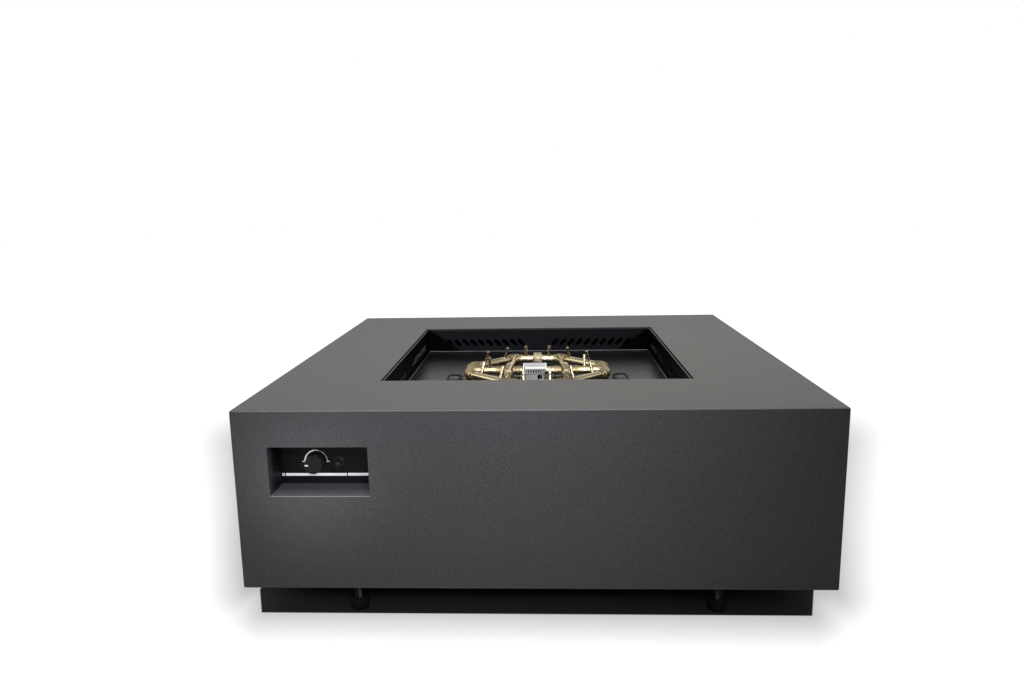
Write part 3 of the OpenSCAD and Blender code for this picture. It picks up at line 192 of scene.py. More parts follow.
def powder_coat():
    """Charcoal powder coat with a fine grain and a painted cooler tint high on the sides, with
    painted highlights along its folds and on the pocket's lower edge."""
    f = Finish("powder_coat", specular_ior_level=0.25)
    grain, speck, cloud = f.noise(330, 3, 0.6), f.noise(900), f.noise(5)
    shade = 0.6 * grain.over(0.36, 0.64) + 0.3 * speck.over(0.35, 0.65) + 0.1 * cloud
    height, up = f.part("Z"), f.facing("Z")
    # Painted light: the sides turn cooler in tint towards the top.
    warm = f.blend(shade, (0.040, 0.038, 0.0365), (0.086, 0.082, 0.078))
    cool = f.blend(shade, (0.037, 0.0365, 0.040), (0.079, 0.078, 0.085))
    flat = f.blend((1 - up) * height.over(0.15, 0.42), warm, cool)
    # Painted highlight: a pale line along the upward face of the pocket's lower edge.
    pocket_sill_highlight = up.over(0.9, 0.97) * height.over(0.2, 0.21) * (1 - height.over(0.3, 0.31))
    # Painted highlights: lighter bands along the top front fold and along the lower fold.
    leaning = up.over(0.12, 0.4) * (1 - up.over(0.86, 0.97))
    top_fold_highlight = leaning * height.over(TABLE_TOP - 0.012, TABLE_TOP - 0.007)
    low_fold_highlight = 1 - height.over(CASING_FOOT + 0.0025, CASING_FOOT + 0.005)
    with_fold_highlights = f.blend(0.8 * top_fold_highlight + 0.25 * low_fold_highlight, flat, (0.15, 0.152, 0.17))
    f.shader_input("Base Color", f.blend(pocket_sill_highlight, with_fold_highlights, (0.75, 0.75, 0.74)))
    f.shader_input("Roughness", 0.44 + 0.14 * grain)
    f.bump(0.5 * speck + 0.5 * grain, 0.0004, 0.5)
    return f.material


def satin_black(name, dark, light, rough, shine):
    """Smooth black paint on sheet, with a faint unevenness and fine dust."""
    f = Finish(name, specular_ior_level=shine)
    wave, fine = f.sheet_relief()
    dust = f.noise(9, 3, 0.6).over(0.42, 0.75)
    f.shader_input("Base Color", f.blend(0.6 * dust + 0.4 * fine, dark, light))
    f.shader_input("Roughness", rough - 0.05 + 0.10 * wave + 0.05 * dust)
    return f.material


def bowl_paint():
    """Matt black of the bowl's walls with painted shade: palest in the middle of the front and back
    walls, darker towards their ends and foot and on faces that face neither front nor back; painted
    highlights on the rim and on the cut edges of the side slots."""
    f = Finish("bowl_paint", specular_ior_level=0.02)
    wave, _ = f.sheet_relief()
    x, y, z = abs(f.part("X")), abs(f.part("Y")), f.part("Z")
    # Painted shade: dark in a diagonal from the corners down to the foot, and on every face that
    # doesn't face front or back.
    from_corner = BOWL_HALF - x.least(y)
    painted_shade_line = (TABLE_TOP - 0.002 - z) * 1.43
    free_of_painted_shade = (from_corner - painted_shade_line).over(-0.004, 0.014) * f.facing("Y").over(0.9, 0.97)
    wall = f.blend(free_of_painted_shade, (0.0012, 0.0012, 0.0015), (0.0125, 0.0125, 0.016))
    # Painted highlight: a pale line on the top face of the rim.
    rim = f.facing("Z").over(0.7, 0.9) * z.over(TABLE_TOP - 0.008, TABLE_TOP - 0.006)
    # Painted highlight: pale streaks in patches on the cut edges of the side walls' slots.
    side_wall = x.over(BOWL_HALF - 0.022, BOWL_HALF)
    patch = f.noise(90).over(0.44, 0.54)
    cut = (f.facing("Y") * f.facing("Z")).over(0.05, 0.3) * side_wall * patch
    f.shader_input("Base Color", f.blend(rim + 0.4 * cut, wall, (0.11, 0.105, 0.10)))
    f.shader_input("Roughness", 0.40 + 0.10 * wave)
    return f.material


def pan_paint():
    """Satin black of the pan, with a painted highlight along its raised bead."""
    f = Finish("pan_paint", specular_ior_level=0.18)
    wave, fine = f.sheet_relief()
    dust = f.noise(9, 3, 0.6).over(0.42, 0.75)
    # Painted highlight along the bead, strongest at the front and back.
    front_or_back = abs(f.part("Y")).over(BOWL_HALF - 0.012, BOWL_HALF - 0.010)
    bead = f.part("Z").over(BEAD_FOOT, BEAD_FOOT + 0.0012) * (0.1 + 0.9 * front_or_back)
    flat = f.blend(0.6 * dust + 0.4 * fine, (0.002, 0.002, 0.0025), (0.005, 0.005, 0.0055))
    f.shader_input("Base Color", f.blend(bead, flat, (0.085, 0.086, 0.096)))
    f.shader_input("Roughness", 0.25 + 0.10 * wave + 0.05 * dust)
    return f.material


def pilot_plate():
    """Stamped plate of the pilot with painted highlights along its bends, black inside its box as
    soot and painted shade, and a painted shadow under the hood's edge."""
    f = Finish("pilot_plate", metallic=0.4)
    rolled = f.noise(700, 2, 0.6, f.stretched(1, 0.12, 1))
    stain = f.noise(45, 3, 0.6).over(0.45, 0.8)
    box_half, box_front, slot_z, roof_z = 0.0233, -0.0684, 0.3775, 0.3913
    from_middle, y, z = abs(f.part("X") - HOOD_MIDDLE), f.part("Y"), f.part("Z")
    within_sides = 1 - from_middle.over(box_half, box_half + 0.0006)
    under_roof = 1 - z.over(roof_z, roof_z + 0.0006)
    # Black inside the box: soot and painted shade together.
    inside = within_sides * y.over(box_front + 0.0007, box_front + 0.0013) * under_roof
    # Painted shadow on the box front just under the hood's edge.
    behind_apron = y.over(box_front, box_front + 0.0001) * z.over(slot_z, slot_z + 0.0004)
    painted_shadow_under_hood = behind_apron * under_roof
    free_of_painted_shade = f.blend(0.5 * stain + 0.3 * rolled, (0.50, 0.50, 0.51), (0.36, 0.36, 0.37))
    # Painted highlights along the plate's bends.
    side, front = f.facing("X"), f.facing("Y")
    side_bend_highlight = side.over(0.12, 0.25) * (1 - side.over(0.6, 0.8))
    front_bend_highlight = front.over(0.3, 0.45) * (1 - front.over(0.6, 0.8))
    plate = f.blend(side_bend_highlight + front_bend_highlight, free_of_painted_shade, (0.80, 0.80, 0.81))
    f.shader_input("Base Color", f.blend(inside.most(painted_shadow_under_hood), plate, (0.004, 0.004, 0.004)))
    f.shader_input("Roughness", 0.46 + 0.16 * rolled)
    f.bump(rolled, 0.00005, 0.25)
    return f.material


def pocket_paint():
    """Satin black of the pocket, with painted shade on its side walls towards the panel and painted
    light on the front of its floor."""
    f = Finish("pocket_paint", specular_ior_level=0.3)
    wave, fine = f.sheet_relief()
    depth = f.part("Y") - POCKET_MOUTH
    flat = f.blend(0.4 * wave + 0.6 * fine, (0.065, 0.065, 0.080), (0.092, 0.092, 0.110))
    # Painted light on the front of the floor.
    pale = f.facing("Z").over(0.7, 0.9) * (1 - depth.over(0.0095, 0.0495))
    # Painted shade on the side walls, deepening towards the panel.
    dull = f.facing("X").over(0.7, 0.9) * depth.over(-0.0065, 0.0395)
    walls = f.blend(0.6 * pale, flat, (0.20, 0.20, 0.22))
    f.shader_input("Base Color", f.blend(dull, walls, (0.002, 0.002, 0.003)))
    f.shader_input("Roughness", 0.45 + 0.08 * wave)
    return f.material


def plug_brass():
    """Tarnished face of a turned plug, bright in its slot, partly as a painted highlight."""
    f = Finish("plug_brass", metallic=0.5)
    sand = f.noise(520, 4, 0.65)
    face = abs(f.part("Y")).over(PLUG_FACE - 0.0008, PLUG_FACE)
    dull = f.blend(sand, (0.40, 0.32, 0.18), (0.24, 0.18, 0.09))
    # Pale half-diffuse brass off the end face: partly a painted highlight in the slot and rim.
    f.shader_input("Base Color", f.blend(face, (0.92, 0.84, 0.62), dull))
    f.shader_input("Roughness", 0.36 + 0.15 * sand)
    f.bump(sand, 0.0002, 0.3)
    return f.material


def bright_brass(name, dark, light, rough, scratch=0.35):
    """Drawn or turned brass: smooth metal with smudges and hairline scratches."""
    f = Finish(name, metallic=1.0)
    smudge = f.noise(70, 3, 0.6)
    hair = f.noise(1500, 2, 0.6, f.stretched(1, 1, 0.06, (0.6, 0.4, 0.2)))
    tarnish = f.noise(26, 3, 0.65).over(0.4, 0.72)
    f.shader_input("Base Color", f.blend(0.75 * tarnish + 0.25 * smudge, light, dark))
    f.shader_input("Roughness", rough + 0.14 * smudge + 0.10 * tarnish)
    f.bump(hair, 0.00006, scratch)
    return f.material


def sand_cast_brass():
    """Cast brass with the grain of the mould and darker patches of patina."""
    f = Finish("cast_brass", metallic=1.0)
    sand = f.noise(520, 4, 0.65)
    lumps = f.noise(140)
    patina = f.noise(40, 3, 0.6).over(0.35, 0.75)
    tone = 0.55 * patina + 0.45 * sand.over(0.35, 0.65)
    f.shader_input("Base Color", f.blend(tone, (0.58, 0.47, 0.28), (0.22, 0.165, 0.085)))
    f.shader_input("Roughness", 0.34 + 0.20 * sand + 0.08 * patina)
    f.bump(0.6 * sand + 0.4 * lumps, 0.0005, 0.8)
    return f.material


def steel(name, colour, rough, grain=0.3, metal=1.0):
    """Bare or plated steel with a rolled grain and faint stains."""
    f = Finish(name, metallic=metal)
    rolled = f.noise(700, 2, 0.6, f.stretched(1, 0.12, 1))
    stain = f.noise(45, 3, 0.6).over(0.45, 0.8)
    darker = tuple(c * 0.62 for c in colour)
    f.shader_input("Base Color", f.blend(0.7 * stain + 0.3 * rolled, colour, darker))
    f.shader_input("Roughness", rough + 0.16 * rolled)
    f.bump(rolled, 0.00005, grain)
    return f.material


def moulded(name, colour, rough, grain=0.3, shine=0.5):
    """Moulded plastic or rubber with a fine eroded surface."""
    f = Finish(name, specular_ior_level=shine)
    fine = f.noise(1600)
    wave = f.noise(120)
    lighter = tuple(c * 1.5 + 0.002 for c in colour)
    f.shader_input("Base Color", f.blend(0.5 * fine + 0.5 * wave, colour, lighter))
    f.shader_input("Roughness", rough + 0.12 * wave)
    f.bump(fine, 0.00006, grain)
    return f.material


def printed_white():
    """White screen print, a little thin in places."""
    f = Finish("white_print", roughness=0.5)
    thin = f.noise(700).over(0.3, 0.8)
    f.shader_input("Base Color", f.blend(thin, (0.61, 0.63, 0.67), (0.72, 0.74, 0.78)))
    f.bump(thin, 0.00003, 0.3)
    return f.material


def steel_braid():
    """Braided steel sleeve of a hose: two sets of strands that cross, laid out on the hose's own
    map."""
    f = Finish("steel_braid", metallic=1.0)
    flat = f.add("ShaderNodeUVMap", {"uv_map": "UVMap"}, {})
    along, about = 110 * f.part("X", flat), 14 * f.part("Y", flat)
    first = along.math("PINGPONG", along + about, 0.5)
    second = along.math("PINGPONG", along - about, 0.5)
    strand = first.most(second)
    tone = f.blend(strand.over(0.2, 0.45), (0.16, 0.16, 0.17), (0.62, 0.62, 0.64))
    f.shader_input("Base Color", tone)
    f.shader_input("Roughness", 0.45 - 0.2 * strand)
    f.bump(strand, 0.001, 0.8)
    return f.material


def sawn_brass():
    """Brass sawn from bar: fine upright saw marks on its sides."""
    f = Finish("sawn_brass", metallic=1.0)
    mark = f.noise(420, 3, 0.6, f.stretched(1, 1, 0.03))
    smudge = f.noise(60, 3, 0.6).over(0.4, 0.75)
    tone = f.blend(0.5 * mark + 0.5 * smudge, (0.90, 0.78, 0.55), (0.55, 0.43, 0.25))
    f.shader_input("Base Color", tone)
    f.shader_input("Roughness", 0.26 + 0.2 * mark)
    f.bump(mark, 0.0002, 0.5)
    return f.material


BLACK = (0.002, 0.002, 0.002)
finishes = {
    "powder_coat": powder_coat(),
    "frame_steel": satin_black("frame_paint", (0.003, 0.003, 0.003), (0.007, 0.007, 0.007),
                               0.50, 0.06),
    "zinc_steel": steel("zinc_plate", (0.50, 0.50, 0.52), 0.30),
    "foot_rubber": moulded("foot_rubber", BLACK, 0.65, shine=0.1),
    "bowl_black": bowl_paint(),
    "pan_black": pan_paint(),
    "plate_steel": steel("shield_plate", (0.55, 0.55, 0.55), 0.34),
    "pilot_steel": pilot_plate(),
    "pipe_brass": bright_brass("pipe_brass", (0.56, 0.46, 0.27), (0.80, 0.69, 0.46), 0.18),
    "cast_brass": sand_cast_brass(),
    "jet_brass": bright_brass("jet_brass", (0.60, 0.49, 0.30), (0.86, 0.75, 0.52), 0.16, 0.2),
    "sawn_brass": sawn_brass(),
    "plug_brass": plug_brass(),
    # Dark brass of the last threads: partly sealant, partly painted shade at the joint.
    "thread_brass": bright_brass("thread_brass", (0.06, 0.045, 0.022), (0.12, 0.09, 0.045), 0.5),
    # Ceramic darkened close to black: partly soot, partly painted shade of the pilot box.
    "ceramic": moulded("ceramic_soot_and_painted_shade", (0.05, 0.05, 0.052), 0.35, 0.1),
    "copper_wire": bright_brass("copper_lead", (0.38, 0.18, 0.10), (0.62, 0.34, 0.20), 0.3),
    "sooty_steel": steel("sooty_steel", (0.02, 0.02, 0.02), 0.55, metal=0.3),
    "bail_black": satin_black("bail_paint", BLACK, (0.004, 0.004, 0.004), 0.50, 0.08),
    # Ears in a lighter grey than the pan's black: a painted sheen like the pan's reflection.
    "ear_paint_painted_sheen": satin_black("ear_paint_painted_sheen", (0.045, 0.045, 0.046), (0.06, 0.06, 0.061), 0.40, 0.20),
    "pocket_black": pocket_paint(),
    "panel_black": satin_black("panel_paint", (0.002, 0.002, 0.0025), (0.004, 0.004, 0.005),
                               0.42, 0.20),
    "mark_white": printed_white(),
    "knob_black": moulded("knob_plastic", (0.004, 0.004, 0.005), 0.36, shine=0.35),
    "barrel_black": moulded("barrel_plastic", (0.010, 0.010, 0.011), 0.38),
    "valve_zinc": steel("die_cast_zinc", (0.42, 0.42, 0.44), 0.42, 0.5),
    "wire_black": moulded("wire_sleeve", (0.012, 0.012, 0.013), 0.45),
    "steel_braid": steel_braid(),
    "black_zinc": steel("black_zinc", (0.025, 0.025, 0.026), 0.36),
}
slot_of = {entry["node"]: entry["material_slot"] for entry in frame["record"]["subparts"]}
bodies = frame["record"]["behaviour"]["bodies"]
body_of = {name: body for body, names in bodies.items() for name in names}

for name, node in nodes.items():
    node.data.materials.clear()
    node.data.materials.append(finishes[slot_of[name]])
nodes["control_panel"].data.materials[0] = finishes["panel_black"]
nodes["pilot_burner"].data.materials[0] = finishes["sooty_steel"]


# Shaping, in millimetres


def turned(outline, steps=48, ring=False):
    """Spins an outline of (radius, height) points round Z into a closed form."""
    mesh = bmesh.new()
    line = [mesh.verts.new((r, 0, z)) for r, z in outline]
    edges = [mesh.edges.new(pair) for pair in zip(line, line[1:] + (line[:1] if ring else []))]
    bmesh.ops.spin(mesh, geom=line + edges, cent=(0, 0, 0), axis=(0, 0, 1), angle=2 * pi,
                   steps=steps, use_merge=True)
    bmesh.ops.remove_doubles(mesh, verts=mesh.verts, dist=1e-4)
    bmesh.ops.recalc_face_normals(mesh, faces=mesh.faces)
    return mesh


def facing(place, direction):
    """The placing that brings a shape from the origin to place with its Z along direction."""
    swing = Vector(direction).to_track_quat("Z", "Y").to_matrix()
    return Matrix.Translation(place) @ swing.to_4x4()


def joined(copies):
    """One mesh from pairs of a shape and its placing."""
    whole = bmesh.new()
    for shape, placing in copies:
        data = bpy.data.meshes.new("copy")
        shape.to_mesh(data)
        data.transform(placing)
        whole.from_mesh(data)
        bpy.data.meshes.remove(data)
    bmesh.ops.recalc_face_normals(whole, faces=whole.faces)
    return whole


def in_quarters(*placings):
    """The placings given, mirrored over the middle both ways."""
    mirrors = [Matrix.Diagonal((x, y, 1, 1)) for x in (1, -1) for y in (1, -1)]
    return [mirror @ placing for placing in placings for mirror in mirrors]


def on_both_sides(placing):
    """The placing given and its mirror image to the left."""
    return [Matrix.Diagonal((x, 1, 1, 1)) @ placing for x in (1, -1)]


def copied(*names):
    """Frame nodes as one mesh, with their loose triangles merged to whole faces."""
    mesh = bmesh.new()
    for name in names:
        mesh.from_mesh(nodes[name].data)
    bmesh.ops.scale(mesh, vec=(1000, 1000, 1000), verts=mesh.verts)
    bmesh.ops.remove_doubles(mesh, verts=mesh.verts, dist=0.002)
    bmesh.ops.dissolve_limit(mesh, angle_limit=radians(0.6), verts=mesh.verts, edges=mesh.edges)
    return mesh


def eased(mesh, width, steps=2, from_length=0):
    """Rounds the sharp edges that are at least from_length long."""
    least_angle = radians(35)
    sharp = [edge for edge in mesh.edges
             if len(edge.link_faces) == 2 and edge.calc_face_angle(0) > least_angle
             and edge.calc_length() >= from_length]
    bmesh.ops.bevel(mesh, geom=sharp, offset=width, offset_type="OFFSET", affect="EDGES",
                    segments=steps, profile=0.5, material=-1, clamp_overlap=True)
    return mesh


def meshed(thing):
    """A mesh from an object with its modifiers or its curve worked out. The object goes."""
    bpy.context.view_layer.update()
    solved = thing.evaluated_get(bpy.context.evaluated_depsgraph_get())
    data = bpy.data.meshes.new_from_object(solved)
    bpy.data.objects.remove(thing)
    mesh = bmesh.new()
    mesh.from_mesh(data)
    bpy.data.meshes.remove(data)
    return mesh


def shown(data, name="made"):
    thing = bpy.data.objects.new(name, data)
    bpy.context.collection.objects.link(thing)
    return thing


def cast_as_one(mesh):
    """Melts forms that overlap into one skin with soft inside corners, as in a casting."""
    grain, rounds = 0.75, 3
    data = bpy.data.meshes.new("mould")
    mesh.to_mesh(data)
    mesh.free()
    thing = shown(data)
    skin = thing.modifiers.new("skin", "REMESH")
    skin.mode = "VOXEL"
    skin.voxel_size = grain
    body = meshed(thing)
    for _ in range(rounds):
        bmesh.ops.smooth_vert(body, verts=body.verts, factor=0.5,
                              use_axis_x=True, use_axis_y=True, use_axis_z=True)
    return body


def run_of(points, radius, facets):
    """A round line with closed ends through the points given."""
    curve = bpy.data.curves.new("line", "CURVE")
    curve.dimensions = "3D"
    curve.bevel_depth = radius
    curve.bevel_resolution = facets // 4 - 1
    curve.use_fill_caps = True
    line = curve.splines.new("POLY")
    line.points.add(len(points) - 1)
    for knot, place in zip(line.points, points):
        knot.co = (*place, 1)
    return meshed(shown(curve))


def with_bends(corners, radius):
    """Points along straight stretches, with an arc in place of each inner corner."""
    steps = 6
    points = [Vector(corners[0])]
    for before, corner, after in zip(corners, corners[1:], corners[2:]):
        back = (Vector(before) - Vector(corner)).normalized() * radius
        on = (Vector(after) - Vector(corner)).normalized() * radius
        for i in range(steps + 1):
            a = pi / 2 * i / steps
            points.append(Vector(corner) + back * (1 - sin(a)) + on * (1 - cos(a)))
    return points + [Vector(corners[-1])]


def bezier(start, lead, trail, end, count):
    """Points on the curve from start to end whose handles are start + lead and end + trail."""
    start, end = Vector(start), Vector(end)
    b, c = start + Vector(lead), end + Vector(trail)
    shares = [i / count for i in range(count + 1)]
    return [start * (1 - t) ** 3 + b * 3 * t * (1 - t) ** 2 + c * 3 * t * t * (1 - t) + end * t ** 3
            for t in shares]


def coil(radius, wire, length):
    """A coil spring along Z from z = 0."""
    turns, steps = 4.5, 18
    mesh = bmesh.new()
    bmesh.ops.create_circle(mesh, cap_ends=True, radius=wire, segments=8)
    bmesh.ops.rotate(mesh, verts=mesh.verts, matrix=Matrix.Rotation(pi / 2, 3, "X"))
    bmesh.ops.translate(mesh, verts=mesh.verts, vec=(radius, 0, wire))
    count = round(turns * steps)
    rise = (length - 2 * wire) / count
    bmesh.ops.spin(mesh, geom=mesh.verts[:] + mesh.edges[:] + mesh.faces[:], cent=(0, 0, 0),
                   axis=(0, 0, 1), dvec=(0, 0, rise), angle=2 * pi * turns, steps=count)
    bmesh.ops.recalc_face_normals(mesh, faces=mesh.faces)
    return mesh


def threaded(radius, pitch, depth, low, high):
    """A screw thread along Z, cut square at low and high."""
    mesh = bmesh.new()
    root, near = radius - depth, 1e-3
    tooth = [(root, 0), (root, 0.15), (radius, 0.45), (radius, 0.6), (root, 0.9), (root, 1)]
    line = [mesh.verts.new((r, 0, low - pitch + pitch * share)) for r, share in tooth]
    edges = [mesh.edges.new(pair) for pair in zip(line, line[1:])]
    turns = int((high - low) / pitch) + 3
    steps = 24
    bmesh.ops.spin(mesh, geom=line + edges, cent=(0, 0, 0), axis=(0, 0, 1),
                   dvec=(0, 0, pitch / steps), angle=2 * pi * turns, steps=steps * turns)
    bmesh.ops.remove_doubles(mesh, verts=mesh.verts, dist=near)
    for height, side in ((low, -1), (high, 1)):
        bmesh.ops.bisect_plane(mesh, geom=mesh.verts[:] + mesh.edges[:] + mesh.faces[:],
                               plane_co=(0, 0, height), plane_no=(0, 0, side), clear_outer=True)
        rim = [edge for edge in mesh.edges
               if edge.is_boundary and all(abs(v.co.z - height) < near for v in edge.verts)]
        bmesh.ops.holes_fill(mesh, edges=rim, sides=0)
    bmesh.ops.recalc_face_normals(mesh, faces=mesh.faces)
    return mesh


def finished(mesh, name, slot, body, *stands_for, finish=None, crisp=38):
    """Makes a mesh a piece of the table: its real size, smooth faces with edges crisp from an angle
    in degrees, its finish and its body."""
    bmesh.ops.scale(mesh, vec=(MM, MM, MM), verts=mesh.verts)
    data = bpy.data.meshes.new(name)
    mesh.to_mesh(data)
    mesh.free()
    if "custom_normal" in data.attributes:
        data.attributes.remove(data.attributes["custom_normal"])
    data.materials.append(finish or finishes[slot])
    data.shade_smooth()
    data.set_sharp_from_angle(angle=radians(crisp))
    piece = shown(data, name)
    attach(piece, body)
    if stands_for:
        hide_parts(*stands_for)
    return piece


def refined(width, *names, from_length=0, finish=None):
    """Stands for frame nodes with their own shape, its edges rounded by width."""
    for name in names:
        form = eased(copied(name), width, from_length=from_length)
        finished(form, name + "_form", slot_of[name], body_of[name], name, finish=finish)


# Burner

PAN_Z = 358
PIPE_Z = 374
PIPE_R = 10.65
RING_X, RING_Y = 185, 157
SIDE_HALF, END_HALF = 43, 71
CROSS_X = 78.5
CORNER = pi / 4


def bead(radius, low, high, edge=0.8):
    """A band round a fitting's mouth between two depths below the mouth, its two edges rounded."""
    core = PIPE_R - 0.3
    angles = (0, 0.4, 0.8, 1.2, pi / 2)
    round_off = [(radius - edge * (1 - cos(a)), edge * (1 - sin(a))) for a in angles]
    outline = [(core, -high)] + [(r, -high - z) for r, z in reversed(round_off)]
    outline += [(r, -low + z) for r, z in round_off] + [(core, -low)]
    return turned(outline, 56, ring=True)


def mouth_ring():
    """The bright machined face at a fitting's mouth."""
    inner, outer = PIPE_R - 0.2, PIPE_R + 1.9
    outline = [(inner, -1), (inner, 0.2), (PIPE_R + 0.2, 0.5), (PIPE_R + 1.5, 0.5), (outer, 0.2),
               (outer, -1)]
    return turned(outline, 56, ring=True)


def thread_ring():
    """The last threads of a pipe in front of a fitting's mouth, dark partly with sealant and partly
    as painted shade where the pipe enters.
    """
    inner, outer = PIPE_R - 0.2, PIPE_R + 0.3
    return turned([(inner, 0.3), (outer, 0.3), (outer, 1.8), (inner, 2.1)], 56, ring=True)


def arm(radius, length):
    return turned([(0, -0.5), (radius, -0.5), (radius, length), (0, length)])


def elbow_body():
    """A 45 degree cast elbow with its corner at the origin, from -X to 45 degrees off +X."""
    leg, tangent, swell = 18, 14, 14.2
    bend = bmesh.new()
    bmesh.ops.create_circle(bend, cap_ends=True, radius=swell, segments=40)
    bmesh.ops.rotate(bend, verts=bend.verts, matrix=Matrix.Rotation(pi / 2, 3, "Y"))
    bmesh.ops.translate(bend, verts=bend.verts, vec=(-tangent, 0, 0))
    centre = (-tangent, tangent / tan(CORNER / 2), 0)
    bmesh.ops.spin(bend, geom=bend.verts[:] + bend.edges[:] + bend.faces[:], cent=centre,
                   axis=(0, 0, 1), angle=CORNER, steps=12)
    onward = Vector((cos(CORNER), sin(CORNER), 0))
    ends = [facing((-leg, 0, 0), (-1, 0, 0)), facing(onward * leg, (1, 1, 0))]
    neck = turned([(0, -8), (12.4, -8), (12.4, -0.6), (0, -0.6)])
    return cast_as_one(joined([(bend, Matrix())] + [(neck, end) for end in ends])), ends


def branch_body(run, branch, angles):
    """A cast fitting with its run along X and branches at the angles given, and its mouths'
    placings."""
    directions = [((1, 0, 0), run), ((-1, 0, 0), run)]
    directions += [((cos(a), sin(a), 0), branch) for a in angles]
    forms, ends = [], []
    for direction, length in directions:
        end = facing(Vector(direction) * length, direction)
        ends.append(end)
        forms.append((arm(12.1, length - 0.6), facing((0, 0, 0), direction)))
    return cast_as_one(joined(forms)), ends


def fittings():
    """Castings, each with the beads at its mouths as crisp bands, bright machined mouths and dark
    last threads of the pipes."""
    ring, thread = mouth_ring(), thread_ring()
    wide = bead(13.3, -4.4, 0)
    slim = bead(12.8, -7.2, -4.9, 0.6)
    rings, threads = [], []

    def set_in(name, node, casting, placings, bands):
        body, ends = casting
        mouths = [placing @ end for placing in placings for end in ends]
        forms = [(body, placing) for placing in placings]
        forms += [(band, mouth) for mouth in mouths for band in bands]
        finished(joined(forms), name, "cast_brass", "table", node, crisp=70)
        rings.extend((ring, mouth) for mouth in mouths)
        threads.extend((thread, mouth) for mouth in mouths)

    def turned_at(x, y, turn):
        return Matrix.Translation((x, y, PIPE_Z)) @ Matrix.Rotation(turn, 4, "Z")

    corners = in_quarters(turned_at(RING_X, SIDE_HALF, 2 * CORNER),
                          turned_at(END_HALF, RING_Y, 3 * CORNER))
    tees = on_both_sides(turned_at(RING_X, 0, 2 * CORNER))
    crosses = on_both_sides(turned_at(CROSS_X, 0, 0))
    tee, cross = branch_body(19, 13.5, [pi / 2]), branch_body(25.5, 22, [pi / 2, -pi / 2])
    set_in("ring_elbow_castings", "ring_elbows", elbow_body(), corners, [wide])
    set_in("side_tee_castings", "side_tees", tee, tees, [wide])
    set_in("cross_castings", "crosses", cross, crosses, [wide, slim])
    finished(joined(rings), "fitting_mouth_rings", "pipe_brass", "table")
    finished(joined(threads), "pipe_end_threads", "pipe_brass", "table",
             finish=finishes["thread_brass"])


def end_plugs():
    """Slotted plugs in the stubs' ends, with a raised rim round the slot."""
    stub_end = 57
    finished(eased(copied("stub_plugs"), 0.35), "stub_plug_forms", "pipe_brass", "table",
             "stub_plugs", finish=finishes["plug_brass"])
    rim = turned([(8.7, -0.5), (8.7, 0.5), (9.0, 0.8), (9.7, 0.8), (10.1, 0.4), (10.2, -0.2),
                  (10.2, -0.5)], ring=True)
    rims = [(rim, facing((x * CROSS_X, y * stub_end, PIPE_Z), (0, y, 0)))
            for x in (-1, 1) for y in (-1, 1)]
    finished(joined(rims), "stub_plug_rims", "pipe_brass", "table")


def gas_block():
    """The sawn square block that feeds the ring."""
    wide, deep, tall = 25, 62, 29
    block = bmesh.new()
    bmesh.ops.create_cube(block, size=1)
    bmesh.ops.scale(block, vec=(wide, deep, tall), verts=block.verts)
    bmesh.ops.translate(block, verts=block.verts, vec=(0, RING_Y, PAN_Z + tall / 2))
    eased(block, 1.4, 3)
    inner = PIPE_R - 0.3
    collar = turned([(inner, 0), (PIPE_R + 0.9, 0), (PIPE_R + 0.5, 0.5), (inner, 0.7)], ring=True)
    side = wide / 2 - 0.1
    sides = [(collar, facing((x * side, RING_Y, PIPE_Z), (x, 0, 0))) for x in (-1, 1)]
    finished(joined([(block, Matrix())] + sides), "inlet_block_form", "pipe_brass", "table",
             "inlet_block", finish=finishes["sawn_brass"])


def jet_lips():
    """Flared lips at the jets' open ends."""
    length = 42
    lip = turned([(2.5, -2.2), (2.5, 0.1), (2.9, 0.5), (3.6, 0.5), (4.1, 0.1), (4.1, -1.0),
                  (3.85, -1.6), (3.7, -2.2)], 32, ring=True)
    feet = []
    for x, y in ((1, 1), (1, -1), (-1, 1), (-1, -1)):
        for along in (50, 125):
            share = along * sin(CORNER)
            feet.append((x * (RING_X - share), y * (SIDE_HALF + share), -x, -y, 20))
        feet.append((x * CROSS_X, y * 28.8, -x, 0, 31))
        feet.append((x * 34, y * RING_Y, 0, -y, 20))
    feet += [(130, 0, 0, 1, 20), (-130, 0, 0, -1, 20)]
    tops = []
    for x, y, lean_x, lean_y, lean in feet:
        side = Vector((lean_x, lean_y, 0)).normalized()
        axis = side * sin(radians(lean)) + Vector((0, 0, cos(radians(lean))))
        tops.append((lip, facing(Vector((x, y, PIPE_Z)) + axis * length, axis)))
    finished(joined(tops), "jet_lip_rings", "jet_brass", "table")


fittings()
end_plugs()
gas_block()
jet_lips()
refined(0.5, "pilot_hood", "pilot_box", from_length=13)
refined(0.5, "riser_locknut", "hose_nuts", "gas_inlet")


# Bails and feet


def lift_bails():
    """Bent wire bails with a thicker sleeve on the grip."""
    ear, grip, level = 207, 240, 366
    front, back, tail = -118, -18, 14
    sleeve = turned([(0, 0), (2.4, 0), (3, 0.8), (3, 87.2), (2.4, 88), (0, 88)], 20)
    for side, name in ((1, "right_bail"), (-1, "left_bail")):
        corners = [(ear * side, back - tail, level), (ear * side, back, level),
                   (grip * side, back, level), (grip * side, front, level),
                   (ear * side, front, level), (ear * side, front + tail, level)]
        wire = run_of(with_bends(corners, 5), 2, 16)
        cover = (sleeve, facing((grip * side, front + 6, level), (0, 1, 0)))
        finished(joined([(wire, Matrix()), cover]), name + "_wire", "bail_black", body_of[name],
                 name)


